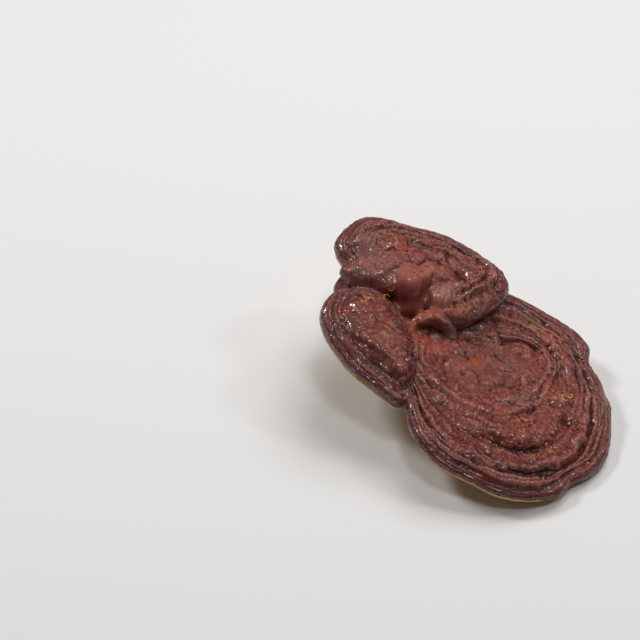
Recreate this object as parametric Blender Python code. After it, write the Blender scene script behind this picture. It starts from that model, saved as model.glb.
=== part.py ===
"""A dried reishi mushroom: one woody bracket whose cap grew in lobes round a short stem, cut off flat.

The cap is modelled level, in its own frame: x to the right, y away from the viewer, z up from the
middle of the main lobe's margin. The lobes are joined, leaned over into the pose in which the
mushroom rests, and cut flat where the stem meets the table. The origin is the middle of that cut.
"""

import math

import bmesh
import bpy
from mathutils import Matrix, Vector, noise

MM = 0.001

# How the cap rests
LEAN_TO_THE_RIGHT = math.radians(14.0)
LEAN_TO_THE_FRONT = math.radians(8.0)
CAP_PLACE = Vector((-1.0, -6.0, 24.4)) * MM

# The stem, cut short
STEM_CUT_RADIUS = 11.5 * MM
STEM_TOP = Vector((-2.0, 5.0, -3.0)) * MM
# Up the stem: share of its height, width against the cut's, and how far it has turned to the cap
STEM_LEVELS = [
    (0.0, 1.0, 0.0), (0.22, 0.97, 0.0), (0.42, 0.94, 0.25), (0.62, 1.08, 0.7), (0.8, 1.45, 0.95),
    (1.0, 2.1, 1.0),
]

# The surface's natural unevenness: size of a swelling and its height
SWELLING_SIZE = 17.0 * MM
SWELLING_HEIGHT = 0.9 * MM
PUCKER_SIZE = 5.0 * MM
PUCKER_HEIGHT = 0.35 * MM

# Mesh bands from a lobe's top to its underside
BANDS_PER_ZONE = 3
BANDS_ROUND_SHOULDER = 3
BANDS_ROUND_FOOT = 2
BANDS_UNDERNEATH = 3

# The flat underside, and how far it bulges down round the stem, in millimetres
UNDERSIDE_HEIGHT = -5.2
UNDERSIDE_BULGE = 3.4
UNDERSIDE_BULGE_SIZE = 34.0
# How much higher the underside of each further lobe starts, so that no two lie in one plane
UNDERSIDE_STEP = 0.3
# The narrowest growth zone
NARROWEST_ZONE = 1.4

CRUST_COLOUR = (0.165, 0.040, 0.034, 1.0)

# The lobes, in millimetres. "growth_lines" are the closed creases round the centre, from the
# innermost outwards: points, or a share of the way to the shoulder, where the margin starts to roll
# down. "line_heights" go from the centre, over each crease, to the shoulder. "zone_swell" is how far
# each zone between two creases stands up. The lists by direction hold (degrees, value). A bump is
# (x, y), its two radii, its turn in degrees and its height. A groove is its points, width and depth.
MAIN_LOBE = {
    "centre": (15.4, 0.6),
    "outline": [
        (-17.0, -23.5), (-15.0, -32.5), (-10.3, -41.5), (-2.2, -48.8), (8.7, -53.2), (20.4, -57.2),
        (32.8, -56.7), (43.4, -52.6), (49.0, -46.2), (56.0, -41.6), (60.2, -37.6), (63.2, -32.4),
        (65.2, -26.6), (66.4, -20.5), (67.0, -13.0), (67.0, -5.4), (65.2, -0.6), (63.8, 5.4),
        (61.0, 10.2), (59.7, 15.0), (60.2, 19.6), (59.0, 23.4), (55.8, 27.4), (51.8, 30.8),
        (46.2, 34.0), (39.8, 37.2), (33.0, 40.0), (26.9, 42.4), (12.0, 45.0), (-2.0, 47.5),
        (-16.0, 48.0), (-30.0, 45.0), (-41.0, 39.0), (-45.5, 32.5), (-46.5, 26.0), (-44.0, 14.0),
        (-39.0, 2.0), (-30.0, -7.0), (-22.0, -14.0),
    ],
    "growth_lines": [
        [
            (-8.2, -4.5), (-3.4, -4.8), (1.5, -6.3), (5.4, -9.3), (10.7, -11.1), (16.7, -11.3),
            (22.9, -9.4), (29.2, -6.1), (34.7, -1.9), (39.2, 4.2), (40.7, 9.6), (38.8, 14.3),
            (34.3, 16.9), (28.1, 17.5), (18.0, 15.0), (8.0, 13.0), (-2.0, 11.0), (-9.0, 4.0),
        ],
        [
            (-10.5, -10.0), (-7.8, -12.0), (-1.8, -14.6), (4.2, -18.2), (8.1, -21.2), (12.1, -22.2),
            (20.1, -22.4), (28.3, -19.2), (34.5, -15.5), (38.9, -9.6), (42.2, -2.0), (44.2, 4.5),
            (43.3, 10.4), (40.3, 16.4), (35.0, 20.4), (27.9, 22.4), (14.0, 22.0), (-2.0, 20.0),
            (-14.0, 12.0), (-15.0, 0.0),
        ],
        [
            (-9.6, -19.6), (-4.1, -25.6), (1.0, -30.7), (6.5, -33.3), (11.5, -36.0), (19.4, -37.6),
            (24.1, -38.5), (29.3, -37.9), (35.4, -35.2), (40.8, -31.3), (46.5, -24.9), (50.7, -15.8),
            (53.4, -5.3), (53.2, 4.6), (51.3, 12.8), (46.6, 19.5), (40.5, 24.9), (32.3, 29.3),
            (14.0, 31.0), (-6.0, 31.0), (-22.0, 22.0), (-22.0, 2.0), (-15.0, -11.0),
        ],
        [
            (-11.4, -27.3), (-7.9, -34.1), (-3.3, -39.6), (2.9, -43.9), (9.5, -46.7), (15.3, -48.2),
            (21.1, -48.9), (27.0, -48.6), (33.0, -47.9), (39.0, -45.7), (44.0, -42.4), (49.5, -37.1),
            (54.0, -30.1), (56.6, -21.4), (57.8, -11.4), (57.6, -1.6), (56.1, 7.2), (53.3, 15.2),
            (49.4, 20.6), (42.9, 25.9), (34.6, 30.8), (27.2, 34.9), (10.0, 38.0), (-12.0, 40.0),
            (-32.0, 31.0), (-33.0, 8.0), (-20.0, -12.0), (-14.0, -20.0),
        ],
    ],
    "line_heights": [-0.9, -0.4, 0.5, 0.9, 0.6, 0.6],
    "zone_swell": [0.5, 1.6, 3.2, 2.6, 1.8],
    "swell_share": [(0, 0.75), (60, 0.6), (120, 0.2), (200, 0.3), (235, 0.9), (290, 1.0), (330, 0.9)],
    "edge_height": [(0, -2.0), (60, -1.6), (110, -2.5), (180, -2.0), (230, -2.6), (300, -2.6)],
    "shoulder_rise": [(0, 3.4), (70, 3.4), (110, 3.0), (180, 3.0), (230, 3.6), (300, 3.4)],
    "shoulder_roll": [(0, 4.2), (70, 4.2), (130, 4.0), (225, 3.6), (270, 4.0), (320, 5.0)],
    "foot_drop": [(0, 2.8), (90, 2.8), (180, 3.0), (270, 2.8)],
    "foot_roll": [(0, 2.0)],
    "bumps": [
        ((-6.0, 4.5), (8.0, 6.5), 20.0, 3.4),
        ((-14.0, -3.0), (7.0, 10.0), 20.0, 3.6),
        ((46.5, -19.0), (4.4, 3.6), 30.0, -2.2),
        ((51.0, -27.0), (4.6, 4.0), 20.0, 1.8),
        ((52.5, -17.0), (3.4, 5.0), -10.0, 1.0),
        ((-14.0, 24.0), (9.0, 8.0), 0.0, -2.2),
    ],
    "grooves": [
        ([(50.0, -47.0), (46.0, -41.0), (42.5, -34.0)], 2.8, 1.4),
        ([(60.0, 12.0), (53.0, 14.0), (45.0, 14.0)], 2.6, 0.9),
    ],
    "segments": 88,
}

LEFT_LOBE = {
    "centre": (-26.0, 3.0),
    "outline": [
        (-15.5, -22.0), (-20.5, -24.4), (-24.3, -22.3), (-28.7, -19.0), (-33.2, -16.0),
        (-37.6, -12.7), (-41.7, -8.8), (-45.2, -4.2), (-48.2, 0.6), (-50.7, 5.6), (-52.2, 10.5),
        (-51.8, 15.5), (-49.8, 20.5), (-46.3, 24.6), (-41.0, 26.4), (-35.5, 26.8), (-29.5, 26.4),
        (-25.4, 23.8), (-22.0, 20.0), (-18.6, 16.6), (-15.2, 12.0), (-10.0, 8.0), (-7.0, 2.0),
        (-8.0, -5.0), (-11.0, -13.0),
    ],
    "growth_lines": [0.50, 0.80],
    "line_heights": [9.0, 8.4, 6.0, 3.6],
    "zone_swell": [0.1, 0.6, 0.9],
    "swell_share": [(0, 0.1), (60, 0.5), (120, 0.8), (200, 1.0), (270, 1.0), (310, 0.5)],
    "edge_height": [(0, -2.5), (60, 2.0), (120, 1.2), (180, 0.2), (240, -0.6), (290, -1.4)],
    "shoulder_rise": [(0, 1.6), (50, 3.6), (120, 4.0), (180, 4.0), (240, 4.0), (300, 3.8)],
    "shoulder_roll": [(0, 8.0), (50, 4.0), (100, 3.6), (180, 4.6), (260, 4.8), (305, 5.0)],
    "foot_drop": [(0, 2.0), (60, 5.0), (120, 5.0), (180, 4.8), (250, 4.2), (300, 3.6)],
    "foot_roll": [(0, 2.2)],
    "bumps": [
        ((-17.0, -8.0), (4.5, 6.0), 20.0, 1.4),
        ((-36.0, 17.0), (9.0, 6.0), -20.0, 0.8),
        ((-8.0, 0.0), (9.0, 14.0), 20.0, -4.0),
    ],
    "grooves": [],
    "segments": 60,
}

UPPER_LOBE = {
    "centre": (-9.0, 38.0),
    "outline": [
        (23.4, 36.8), (22.4, 41.8), (19.8, 45.8), (15.6, 49.5), (10.0, 53.0), (4.3, 56.0),
        (-2.2, 58.8), (-8.4, 60.0), (-14.2, 60.5), (-20.5, 61.0), (-26.2, 61.7), (-31.6, 61.8),
        (-38.3, 60.0), (-42.2, 57.2), (-46.3, 50.8), (-48.4, 45.5), (-47.0, 40.5), (-43.0, 36.2),
        (-34.0, 32.0), (-26.0, 29.0), (-19.0, 27.0), (-13.6, 24.6), (-9.0, 22.4), (-5.0, 20.0),
        (-1.6, 17.2), (1.8, 15.4), (5.4, 15.8), (8.8, 18.0), (12.6, 21.0), (16.8, 24.8),
        (20.8, 29.8),
    ],
    "growth_lines": [0.46, 0.80],
    "line_heights": [13.0, 12.6, 12.6, 11.0],
    "zone_swell": [0.6, 1.5, 1.3],
    "swell_share": [(0, 1.2), (60, 1.0), (150, 0.9), (220, 0.4), (280, 0.6), (320, 1.1)],
    "edge_height": [(0, 7.5), (60, 7.4), (120, 7.0), (170, 6.0), (230, 5.0), (290, 5.4), (325, 6.8)],
    "shoulder_rise": [(0, 4.0), (90, 4.0), (170, 4.2), (230, 4.0), (270, 3.6), (305, 5.0), (335, 4.8)],
    "shoulder_roll": [(0, 6.0), (90, 5.0), (170, 4.0), (230, 3.5), (265, 8.0), (305, 8.0), (340, 7.5)],
    "foot_drop": [(0, 4.6), (90, 5.2), (170, 5.2), (230, 5.0), (290, 6.6), (325, 5.2)],
    "foot_roll": [(0, 3.0), (120, 2.2), (250, 2.0), (320, 3.4)],
    "bumps": [
        ((-22.0, 44.0), (10.0, 6.0), 0.0, 1.0),
        ((-20.0, 36.0), (8.0, 6.0), 0.0, 2.0),
        ((-33.0, 36.0), (8.0, 4.0), 0.0, -1.0),
        ((12.0, 31.0), (6.0, 8.0), -30.0, 1.4),
        ((-4.0, 26.0), (9.0, 6.0), 0.0, -4.0),
    ],
    "grooves": [
        ([(13.0, 33.5), (17.0, 31.5), (21.0, 29.0)], 1.8, 0.9),
        ([(9.0, 27.0), (12.0, 23.5), (14.5, 20.0)], 1.8, 0.9),
    ],
    "segments": 72,
}

# Smooth knobs and a short tongue of flesh: centre, half sizes and turn in degrees
KNOBS = {
    "tongue_under_the_upper_lobe": ((-31.5, 32.5, 4.4), (14.5, 7.2, 6.8), 6.0),
    "knob_over_the_pocket": ((-19.0, 31.0, 5.6), (7.6, 9.4, 8.6), 12.0),
    "knob_beside_it": ((-11.6, 34.4, 8.4), (5.4, 6.4, 5.8), -15.0),
    "knob_in_the_pocket": ((-13.6, 25.0, -0.4), (6.0, 6.0, 5.6), 0.0),
    "fold_behind_the_pocket": ((-3.6, 27.4, 3.6), (7.6, 8.6, 8.0), -30.0),
}

# The fold that arches over the hollow beside the stem: points and thickness
NECK_FOLD = [
    ((-17.5, 11.0, 1.0), 2.0), ((-14.8, 14.4, 3.0), 2.4), ((-10.6, 17.6, 4.0), 2.8),
    ((-5.8, 18.8, 4.2), 3.0), ((-2.0, 17.2, 3.4), 2.8), ((0.4, 13.2, 1.6), 2.4),
    ((0.8, 9.0, -0.8), 1.8),
]


class Around:
    """A value that changes smoothly with the direction round a centre, in degrees."""

    def __init__(self, stations):
        self.stations = sorted((degrees % 360.0, value) for degrees, value in stations)

    def __call__(self, degrees):
        stations = self.stations
        count = len(stations)
        if count == 1:
            return stations[0][1]
        degrees %= 360.0
        after = next((i for i, s in enumerate(stations) if s[0] > degrees), count)
        around = [self._station(after + step) for step in (-2, -1, 0, 1)]
        (a0, v0), (a1, v1), (a2, v2), (a3, v3) = around
        span = a2 - a1
        share = (degrees - a1) / span
        start = (v2 - v0) / (a2 - a0) * span
        end = (v3 - v1) / (a3 - a1) * span
        square = share * share
        cube = square * share
        return (
            (2 * cube - 3 * square + 1) * v1
            + (cube - 2 * square + share) * start
            + (3 * square - 2 * cube) * v2
            + (cube - square) * end
        )

    def _station(self, index):
        turns, place = divmod(index, len(self.stations))
        degrees, value = self.stations[place]
        return degrees + 360.0 * turns, value


def radius_around(points, centre):
    """How far a closed line lies from the centre, in each direction."""
    stations = []
    for x, y in points:
        dx, dy = x - centre[0], y - centre[1]
        stations.append((math.degrees(math.atan2(dy, dx)), math.hypot(dx, dy)))
    return Around(stations)


def smooth_step(share):
    share = min(1.0, max(0.0, share))
    return share * share * (3.0 - 2.0 * share)


def along(values, place):
    """Reads a list of values at a place between two of them."""
    index = min(int(place), len(values) - 2)
    share = smooth_step(place - index)
    return values[index] + (values[index + 1] - values[index]) * share


def swell(share):
    """A growth zone's rise between two creases: rounded, and fullest towards the outer one."""
    return math.sin(math.pi * share**1.5) ** 0.7 if 0.0 < share < 1.0 else 0.0


def bump_at(x, y, bump):
    (centre_x, centre_y), (radius_x, radius_y), turn, height = bump
    cos, sin = math.cos(math.radians(turn)), math.sin(math.radians(turn))
    dx, dy = x - centre_x, y - centre_y
    across, along_it = (dx * cos + dy * sin) / radius_x, (dy * cos - dx * sin) / radius_y
    return height * math.exp(-(across**2) - along_it**2)


def groove_at(x, y, groove):
    points, width, depth = groove
    place = Vector((x, y))
    nearest = width * 9.0
    for start, end in zip(points, points[1:]):
        start, end = Vector(start), Vector(end)
        line = end - start
        share = min(1.0, max(0.0, (place - start).dot(line) / line.length_squared))
        nearest = min(nearest, (place - start - line * share).length)
    return -depth * math.exp(-((nearest / width) ** 2))


def underside(x, y):
    """The height of the cap's underside, which bulges down towards the stem."""
    x -= STEM_TOP.x / MM
    y -= STEM_TOP.y / MM
    bulge = math.exp(-(x * x + y * y) / UNDERSIDE_BULGE_SIZE**2)
    return UNDERSIDE_HEIGHT - UNDERSIDE_BULGE * bulge


def unevenness(x, y, layer):
    """The natural swellings and puckers of the crust, in millimetres."""
    broad = noise.noise(Vector((x * MM, y * MM, layer * 0.02)) / SWELLING_SIZE)
    fine = noise.noise(Vector((x * MM, y * MM, layer * 0.02 + 0.1)) / PUCKER_SIZE)
    return (broad * SWELLING_HEIGHT + fine * PUCKER_HEIGHT) / MM


class Lobe:
    """One lobe of the cap: a disc-like form with growth zones on top and a rolled margin."""

    def __init__(self, form, layer):
        self.form = form
        self.layer = layer
        self.centre = form["centre"]
        self.outline = radius_around(form["outline"], self.centre)
        self.lines = [
            line if isinstance(line, float) else radius_around(line, self.centre)
            for line in form["growth_lines"]
        ]
        self.around = {
            key: Around(form[key])
            for key in (
                "swell_share", "edge_height", "shoulder_rise", "shoulder_roll", "foot_drop", "foot_roll"
            )
        }
        self.zones = len(self.lines) + 1
        self.top_bands = self.zones * BANDS_PER_ZONE
        self.bands = self.top_bands + BANDS_ROUND_SHOULDER + BANDS_ROUND_FOOT + BANDS_UNDERNEATH

    def line_radii(self, degrees, reach):
        """The radius of the centre, each growth line and the shoulder, in one direction."""
        radii = [reach]
        for line in reversed(self.lines):
            radius = line * reach if isinstance(line, float) else line(degrees)
            radii.append(min(radius, radii[-1] - NARROWEST_ZONE))
        return [0.0, *reversed(radii)]

    def section(self, degrees, band):
        """The lobe's section in one direction, counted in bands from the top centre.

        It gives the radius, the height, and how much of the relief shows there: 1 on the top, 0 at
        the rim, and below 0 underneath.
        """
        outer = self.outline(degrees)
        edge = self.around["edge_height"](degrees)
        rise = self.around["shoulder_rise"](degrees)
        roll = self.around["shoulder_roll"](degrees)
        drop = self.around["foot_drop"](degrees)
        foot = self.around["foot_roll"](degrees)
        if band <= self.top_bands:
            place = band / BANDS_PER_ZONE
            radii = self.line_radii(degrees, outer - roll)
            zone = min(int(place), self.zones - 1)
            share = place - zone
            radius = radii[zone] + (radii[zone + 1] - radii[zone]) * share
            heights = self.form["line_heights"][:-1] + [edge + rise]
            rounding = self.form["zone_swell"][zone] * self.around["swell_share"](degrees)
            return radius, along(heights, place) + rounding * swell(share), 1.0
        band -= self.top_bands
        if band <= BANDS_ROUND_SHOULDER:
            angle = math.pi / 2 * (1.0 - band / BANDS_ROUND_SHOULDER)
            flat = max(0.0, math.sin(angle))
            return outer - roll + roll * math.cos(angle), edge + rise * flat, flat
        band -= BANDS_ROUND_SHOULDER
        if band <= BANDS_ROUND_FOOT:
            angle = math.pi / 2 * band / BANDS_ROUND_FOOT
            return outer - foot + foot * math.cos(angle), edge - drop * math.sin(angle), 0.0
        band -= BANDS_ROUND_FOOT
        share = 1.0 - band / BANDS_UNDERNEATH
        return (outer - foot) * share, edge - drop, share - 1.0

    def point(self, degrees, band):
        """The lobe's surface in one direction, with its bumps, grooves and natural unevenness."""
        radius, height, shown = self.section(degrees, band)
        angle = math.radians(degrees)
        x = self.centre[0] + radius * math.cos(angle)
        y = self.centre[1] + radius * math.sin(angle)
        if shown > 0.0:
            relief = sum(bump_at(x, y, bump) for bump in self.form["bumps"])
            relief += sum(groove_at(x, y, groove) for groove in self.form["grooves"])
            height += shown * (relief + unevenness(x, y, self.layer))
        elif shown < 0.0:
            below = underside(x, y) + self.layer * UNDERSIDE_STEP
            height += (below - height) * (1.0 - (1.0 + shown) ** 3)
        return Vector((x, y, height)) * MM

    def mesh(self, name):
        """A sphere's mesh, with each vertex moved to its place on the lobe."""
        bm = bmesh.new()
        bmesh.ops.create_uvsphere(
            bm, u_segments=self.form["segments"], v_segments=self.bands, radius=1.0
        )
        for vertex in bm.verts:
            from_top = math.acos(max(-1.0, min(1.0, vertex.co.z)))
            band = from_top / math.pi * self.bands
            degrees = math.degrees(math.atan2(vertex.co.y, vertex.co.x))
            vertex.co = self.point(degrees, round(band, 3))
        bmesh.ops.recalc_face_normals(bm, faces=bm.faces)
        return finished_mesh(bm, name)


def finished_mesh(bm, name):
    bmesh.ops.triangulate(bm, faces=bm.faces)
    mesh = bpy.data.meshes.new(name)
    bm.to_mesh(mesh)
    bm.free()
    return mesh


def add_object(name, mesh, collection):
    thing = bpy.data.objects.new(name, mesh)
    collection.objects.link(thing)
    return thing


def knob_mesh(name, centre, half_sizes, turn_degrees):
    """A rounded knob of flesh."""
    bm = bmesh.new()
    shape = (
        Matrix.Translation(Vector(centre) * MM)
        @ Matrix.Rotation(math.radians(turn_degrees), 4, "Z")
        @ Matrix.Diagonal((*(size * MM for size in half_sizes), 1.0))
    )
    bmesh.ops.create_uvsphere(bm, u_segments=24, v_segments=14, radius=1.0, matrix=shape)
    return finished_mesh(bm, name)


def fold_mesh(name, stations):
    """A round fold that follows its points and thins out at both ends."""
    curve = bpy.data.curves.new(name, "CURVE")
    curve.dimensions = "3D"
    curve.bevel_depth = MM
    curve.bevel_resolution = 3
    curve.use_fill_caps = True
    curve.resolution_u = 4
    spline = curve.splines.new("NURBS")
    spline.points.add(len(stations) - 1)
    spline.use_endpoint_u = True
    spline.order_u = 4
    for point, (place, thickness) in zip(spline.points, stations):
        point.co = (*(value * MM for value in place), 1.0)
        point.radius = thickness
    guide = bpy.data.objects.new(name, curve)
    bpy.context.scene.collection.objects.link(guide)
    evaluated = guide.evaluated_get(bpy.context.evaluated_depsgraph_get())
    mesh = bpy.data.meshes.new_from_object(evaluated)
    bpy.data.objects.remove(guide)
    bm = bmesh.new()
    bm.from_mesh(mesh)
    bmesh.ops.remove_doubles(bm, verts=bm.verts, dist=0.01 * MM)
    bmesh.ops.recalc_face_normals(bm, faces=bm.faces)
    return finished_mesh(bm, name)


def stem_mesh(name, lean):
    """The stem, from below the cut up into the cap, where it flares out and turns to the cap's lean."""
    bm = bmesh.new()
    bmesh.ops.create_cone(bm, cap_ends=True, segments=28, radius1=1.0, radius2=1.0, depth=1.0)
    sides = [e for e in bm.edges if abs(e.verts[0].co.z - e.verts[1].co.z) > 0.5]
    bmesh.ops.subdivide_edges(bm, edges=sides, cuts=len(STEM_LEVELS) - 2, use_grid_fill=True)
    upright = lean.inverted()
    foot = upright @ Vector((0.0, 0.0, -3.0 * MM))
    for vertex in bm.verts:
        level = round((vertex.co.z + 0.5) * (len(STEM_LEVELS) - 1))
        share, width, turned = STEM_LEVELS[level]
        angle = math.atan2(vertex.co.y, vertex.co.x)
        lumps = 1.0 + 0.05 * math.sin(3 * angle + 0.7) + 0.03 * math.sin(5 * angle)
        spoke = Vector((math.cos(angle), math.sin(angle), 0.0)) * (STEM_CUT_RADIUS * width * lumps)
        spoke = spoke.lerp(upright.to_3x3() @ spoke, 1.0 - turned)
        vertex.co = foot.lerp(STEM_TOP, share) + spoke
    bmesh.ops.recalc_face_normals(bm, faces=bm.faces)
    return finished_mesh(bm, name)


def table_mesh(name, lean):
    """The block below the table's surface that the stem's cut is made with."""
    bm = bmesh.new()
    bmesh.ops.create_cube(bm, size=200.0 * MM)
    bmesh.ops.translate(bm, verts=bm.verts, vec=(0.0, 0.0, -100.0 * MM))
    bmesh.ops.transform(bm, matrix=lean.inverted(), verts=bm.verts)
    return finished_mesh(bm, name)


def join(body, cutter, operation):
    """Joins or cuts the body with a helper, which then shows only as a wire."""
    modifier = body.modifiers.new(cutter.name, "BOOLEAN")
    modifier.operation = operation
    modifier.solver = "EXACT"
    modifier.object = cutter
    cutter.parent = body
    cutter.hide_render = True
    cutter.display_type = "WIRE"


def crust_material():
    material = bpy.data.materials.new("lacquered_crust")
    material.use_nodes = True
    shader = material.node_tree.nodes["Principled BSDF"]
    shader.inputs["Base Color"].default_value = CRUST_COLOUR
    shader.inputs["Roughness"].default_value = 0.38
    shader.inputs["Metallic"].default_value = 0.0
    material.diffuse_color = CRUST_COLOUR
    return material


def build():
    for thing in list(bpy.data.objects):
        bpy.data.objects.remove(thing)
    parts = bpy.data.collections.new("dried_reishi_mushroom")
    cutters = bpy.data.collections.new("shapes_joined_into_it")
    for collection in (parts, cutters):
        bpy.context.scene.collection.children.link(collection)

    lean = (
        Matrix.Translation(CAP_PLACE)
        @ Matrix.Rotation(LEAN_TO_THE_RIGHT, 4, "Y")
        @ Matrix.Rotation(LEAN_TO_THE_FRONT, 4, "X")
    )
    body = add_object("cap_and_stem", Lobe(MAIN_LOBE, 0).mesh("main_lobe"), parts)
    body.matrix_world = lean

    for layer, (name, form) in enumerate((("left_lobe", LEFT_LOBE), ("upper_lobe", UPPER_LOBE))):
        join(body, add_object(name, Lobe(form, layer + 1).mesh(name), cutters), "UNION")
    for name, (centre, half_sizes, turn) in KNOBS.items():
        join(body, add_object(name, knob_mesh(name, centre, half_sizes, turn), cutters), "UNION")
    join(body, add_object("neck_fold", fold_mesh("neck_fold", NECK_FOLD), cutters), "UNION")
    join(body, add_object("stem", stem_mesh("stem", lean), cutters), "UNION")
    join(body, add_object("table", table_mesh("table", lean), cutters), "DIFFERENCE")
    body.modifiers.new("triangles", "TRIANGULATE").ngon_method = "BEAUTY"

    body.data.materials.append(crust_material())
    body.data.shade_smooth()
    return body


build()
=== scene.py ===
# %% [markdown]
# # A dried reishi mushroom
#
# A reishi is a bracket fungus: a woody fan that grows outwards from a stem, a little each day. This
# one grew in three lobes that ran over one another. Dried, its crust keeps every growth ring as a
# crease, and shines like old lacquer. The lesson builds it in millimetres, lying level in the cap's
# own frame, and leans it over into its place at the end.

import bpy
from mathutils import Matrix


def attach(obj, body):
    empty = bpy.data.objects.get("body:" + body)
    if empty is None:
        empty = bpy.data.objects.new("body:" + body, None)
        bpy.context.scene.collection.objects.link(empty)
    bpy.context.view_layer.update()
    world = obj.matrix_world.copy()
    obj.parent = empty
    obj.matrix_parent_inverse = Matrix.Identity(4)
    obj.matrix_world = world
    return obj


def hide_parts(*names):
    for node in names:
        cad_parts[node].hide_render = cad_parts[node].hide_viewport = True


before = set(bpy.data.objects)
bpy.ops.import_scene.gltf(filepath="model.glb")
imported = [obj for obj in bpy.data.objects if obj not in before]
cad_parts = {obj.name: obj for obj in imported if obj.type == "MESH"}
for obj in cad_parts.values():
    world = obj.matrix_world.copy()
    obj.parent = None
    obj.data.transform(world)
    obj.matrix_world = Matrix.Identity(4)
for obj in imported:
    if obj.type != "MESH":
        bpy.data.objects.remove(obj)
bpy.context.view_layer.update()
print("nodes of the solid:", list(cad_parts))

# %% Tools for the lesson
import math

import bmesh
import bpy
import numpy as np
from mathutils import Euler, Matrix, Vector, noise

MM = 0.001


def linear(hex_colour):
    """A colour as a painter writes it, in sRGB hex, as the linear values that Blender mixes."""
    parts = [int(hex_colour[i : i + 2], 16) / 255 for i in (1, 3, 5)]
    return (*(c / 12.92 if c <= 0.04045 else ((c + 0.055) / 1.055) ** 2.4 for c in parts), 1.0)


def new_object(name, data):
    """An object of that name and data, in the scene."""
    thing = bpy.data.objects.new(name, data)
    bpy.context.scene.collection.objects.link(thing)
    return thing


print("a mid red-brown in linear light:", [round(c, 3) for c in linear("#73413E")])

# %% [markdown]
# ## Where the camera stands
#
# The camera looks down on the table at 42 degrees, from the side where the cap leans to the right
# and a little to the front. A long lens from 70 cm away keeps the near and the far rim in
# proportion. The cap itself is built lying level, and one function leans it over into its place.

# %% Camera and lean
CAMERA_PLACE = (-0.0510, -0.5021, 0.4935)
LOOKING_DOWN = math.radians(42.0)
SENSOR_WIDTH = 36.0
LENS = 98.4375
LEAN = np.array(Euler((math.radians(8.0), math.radians(14.0), 0.0)).to_matrix())
CAP_PLACE = np.array((-1.0, -6.0, 24.4)) * MM


def place_of(points):
    """Turns points of the cap's frame, in millimetres, into metres in the room."""
    return (np.asarray(points) @ LEAN.T) * MM + CAP_PLACE


camera = new_object("camera", bpy.data.cameras.new("camera"))
bpy.context.scene.camera = camera
camera.location = CAMERA_PLACE
camera.rotation_euler = (math.radians(90.0) - LOOKING_DOWN, 0.0, 0.0)
camera.data.sensor_width = SENSOR_WIDTH
camera.data.lens = LENS
camera.data.clip_start = 0.01
print("lens:", round(camera.data.lens, 1), "mm; the cap's middle is at", place_of((0.0, 0.0, 0.0)))

# %% [markdown]
# ## The lobes
#
# Each lobe is a disc that grew outwards, so its shape is written as a section that changes with the
# direction round a centre: growth zones on top, creases between them, a rolled margin and a flat
# underside. The outlines and creases are lists of points in millimetres. A smooth curve through the
# values by direction then gives the section anywhere. It could be sculpted by hand, but a rule
# keeps the rings running parallel to the rim, as growth made them.

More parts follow.
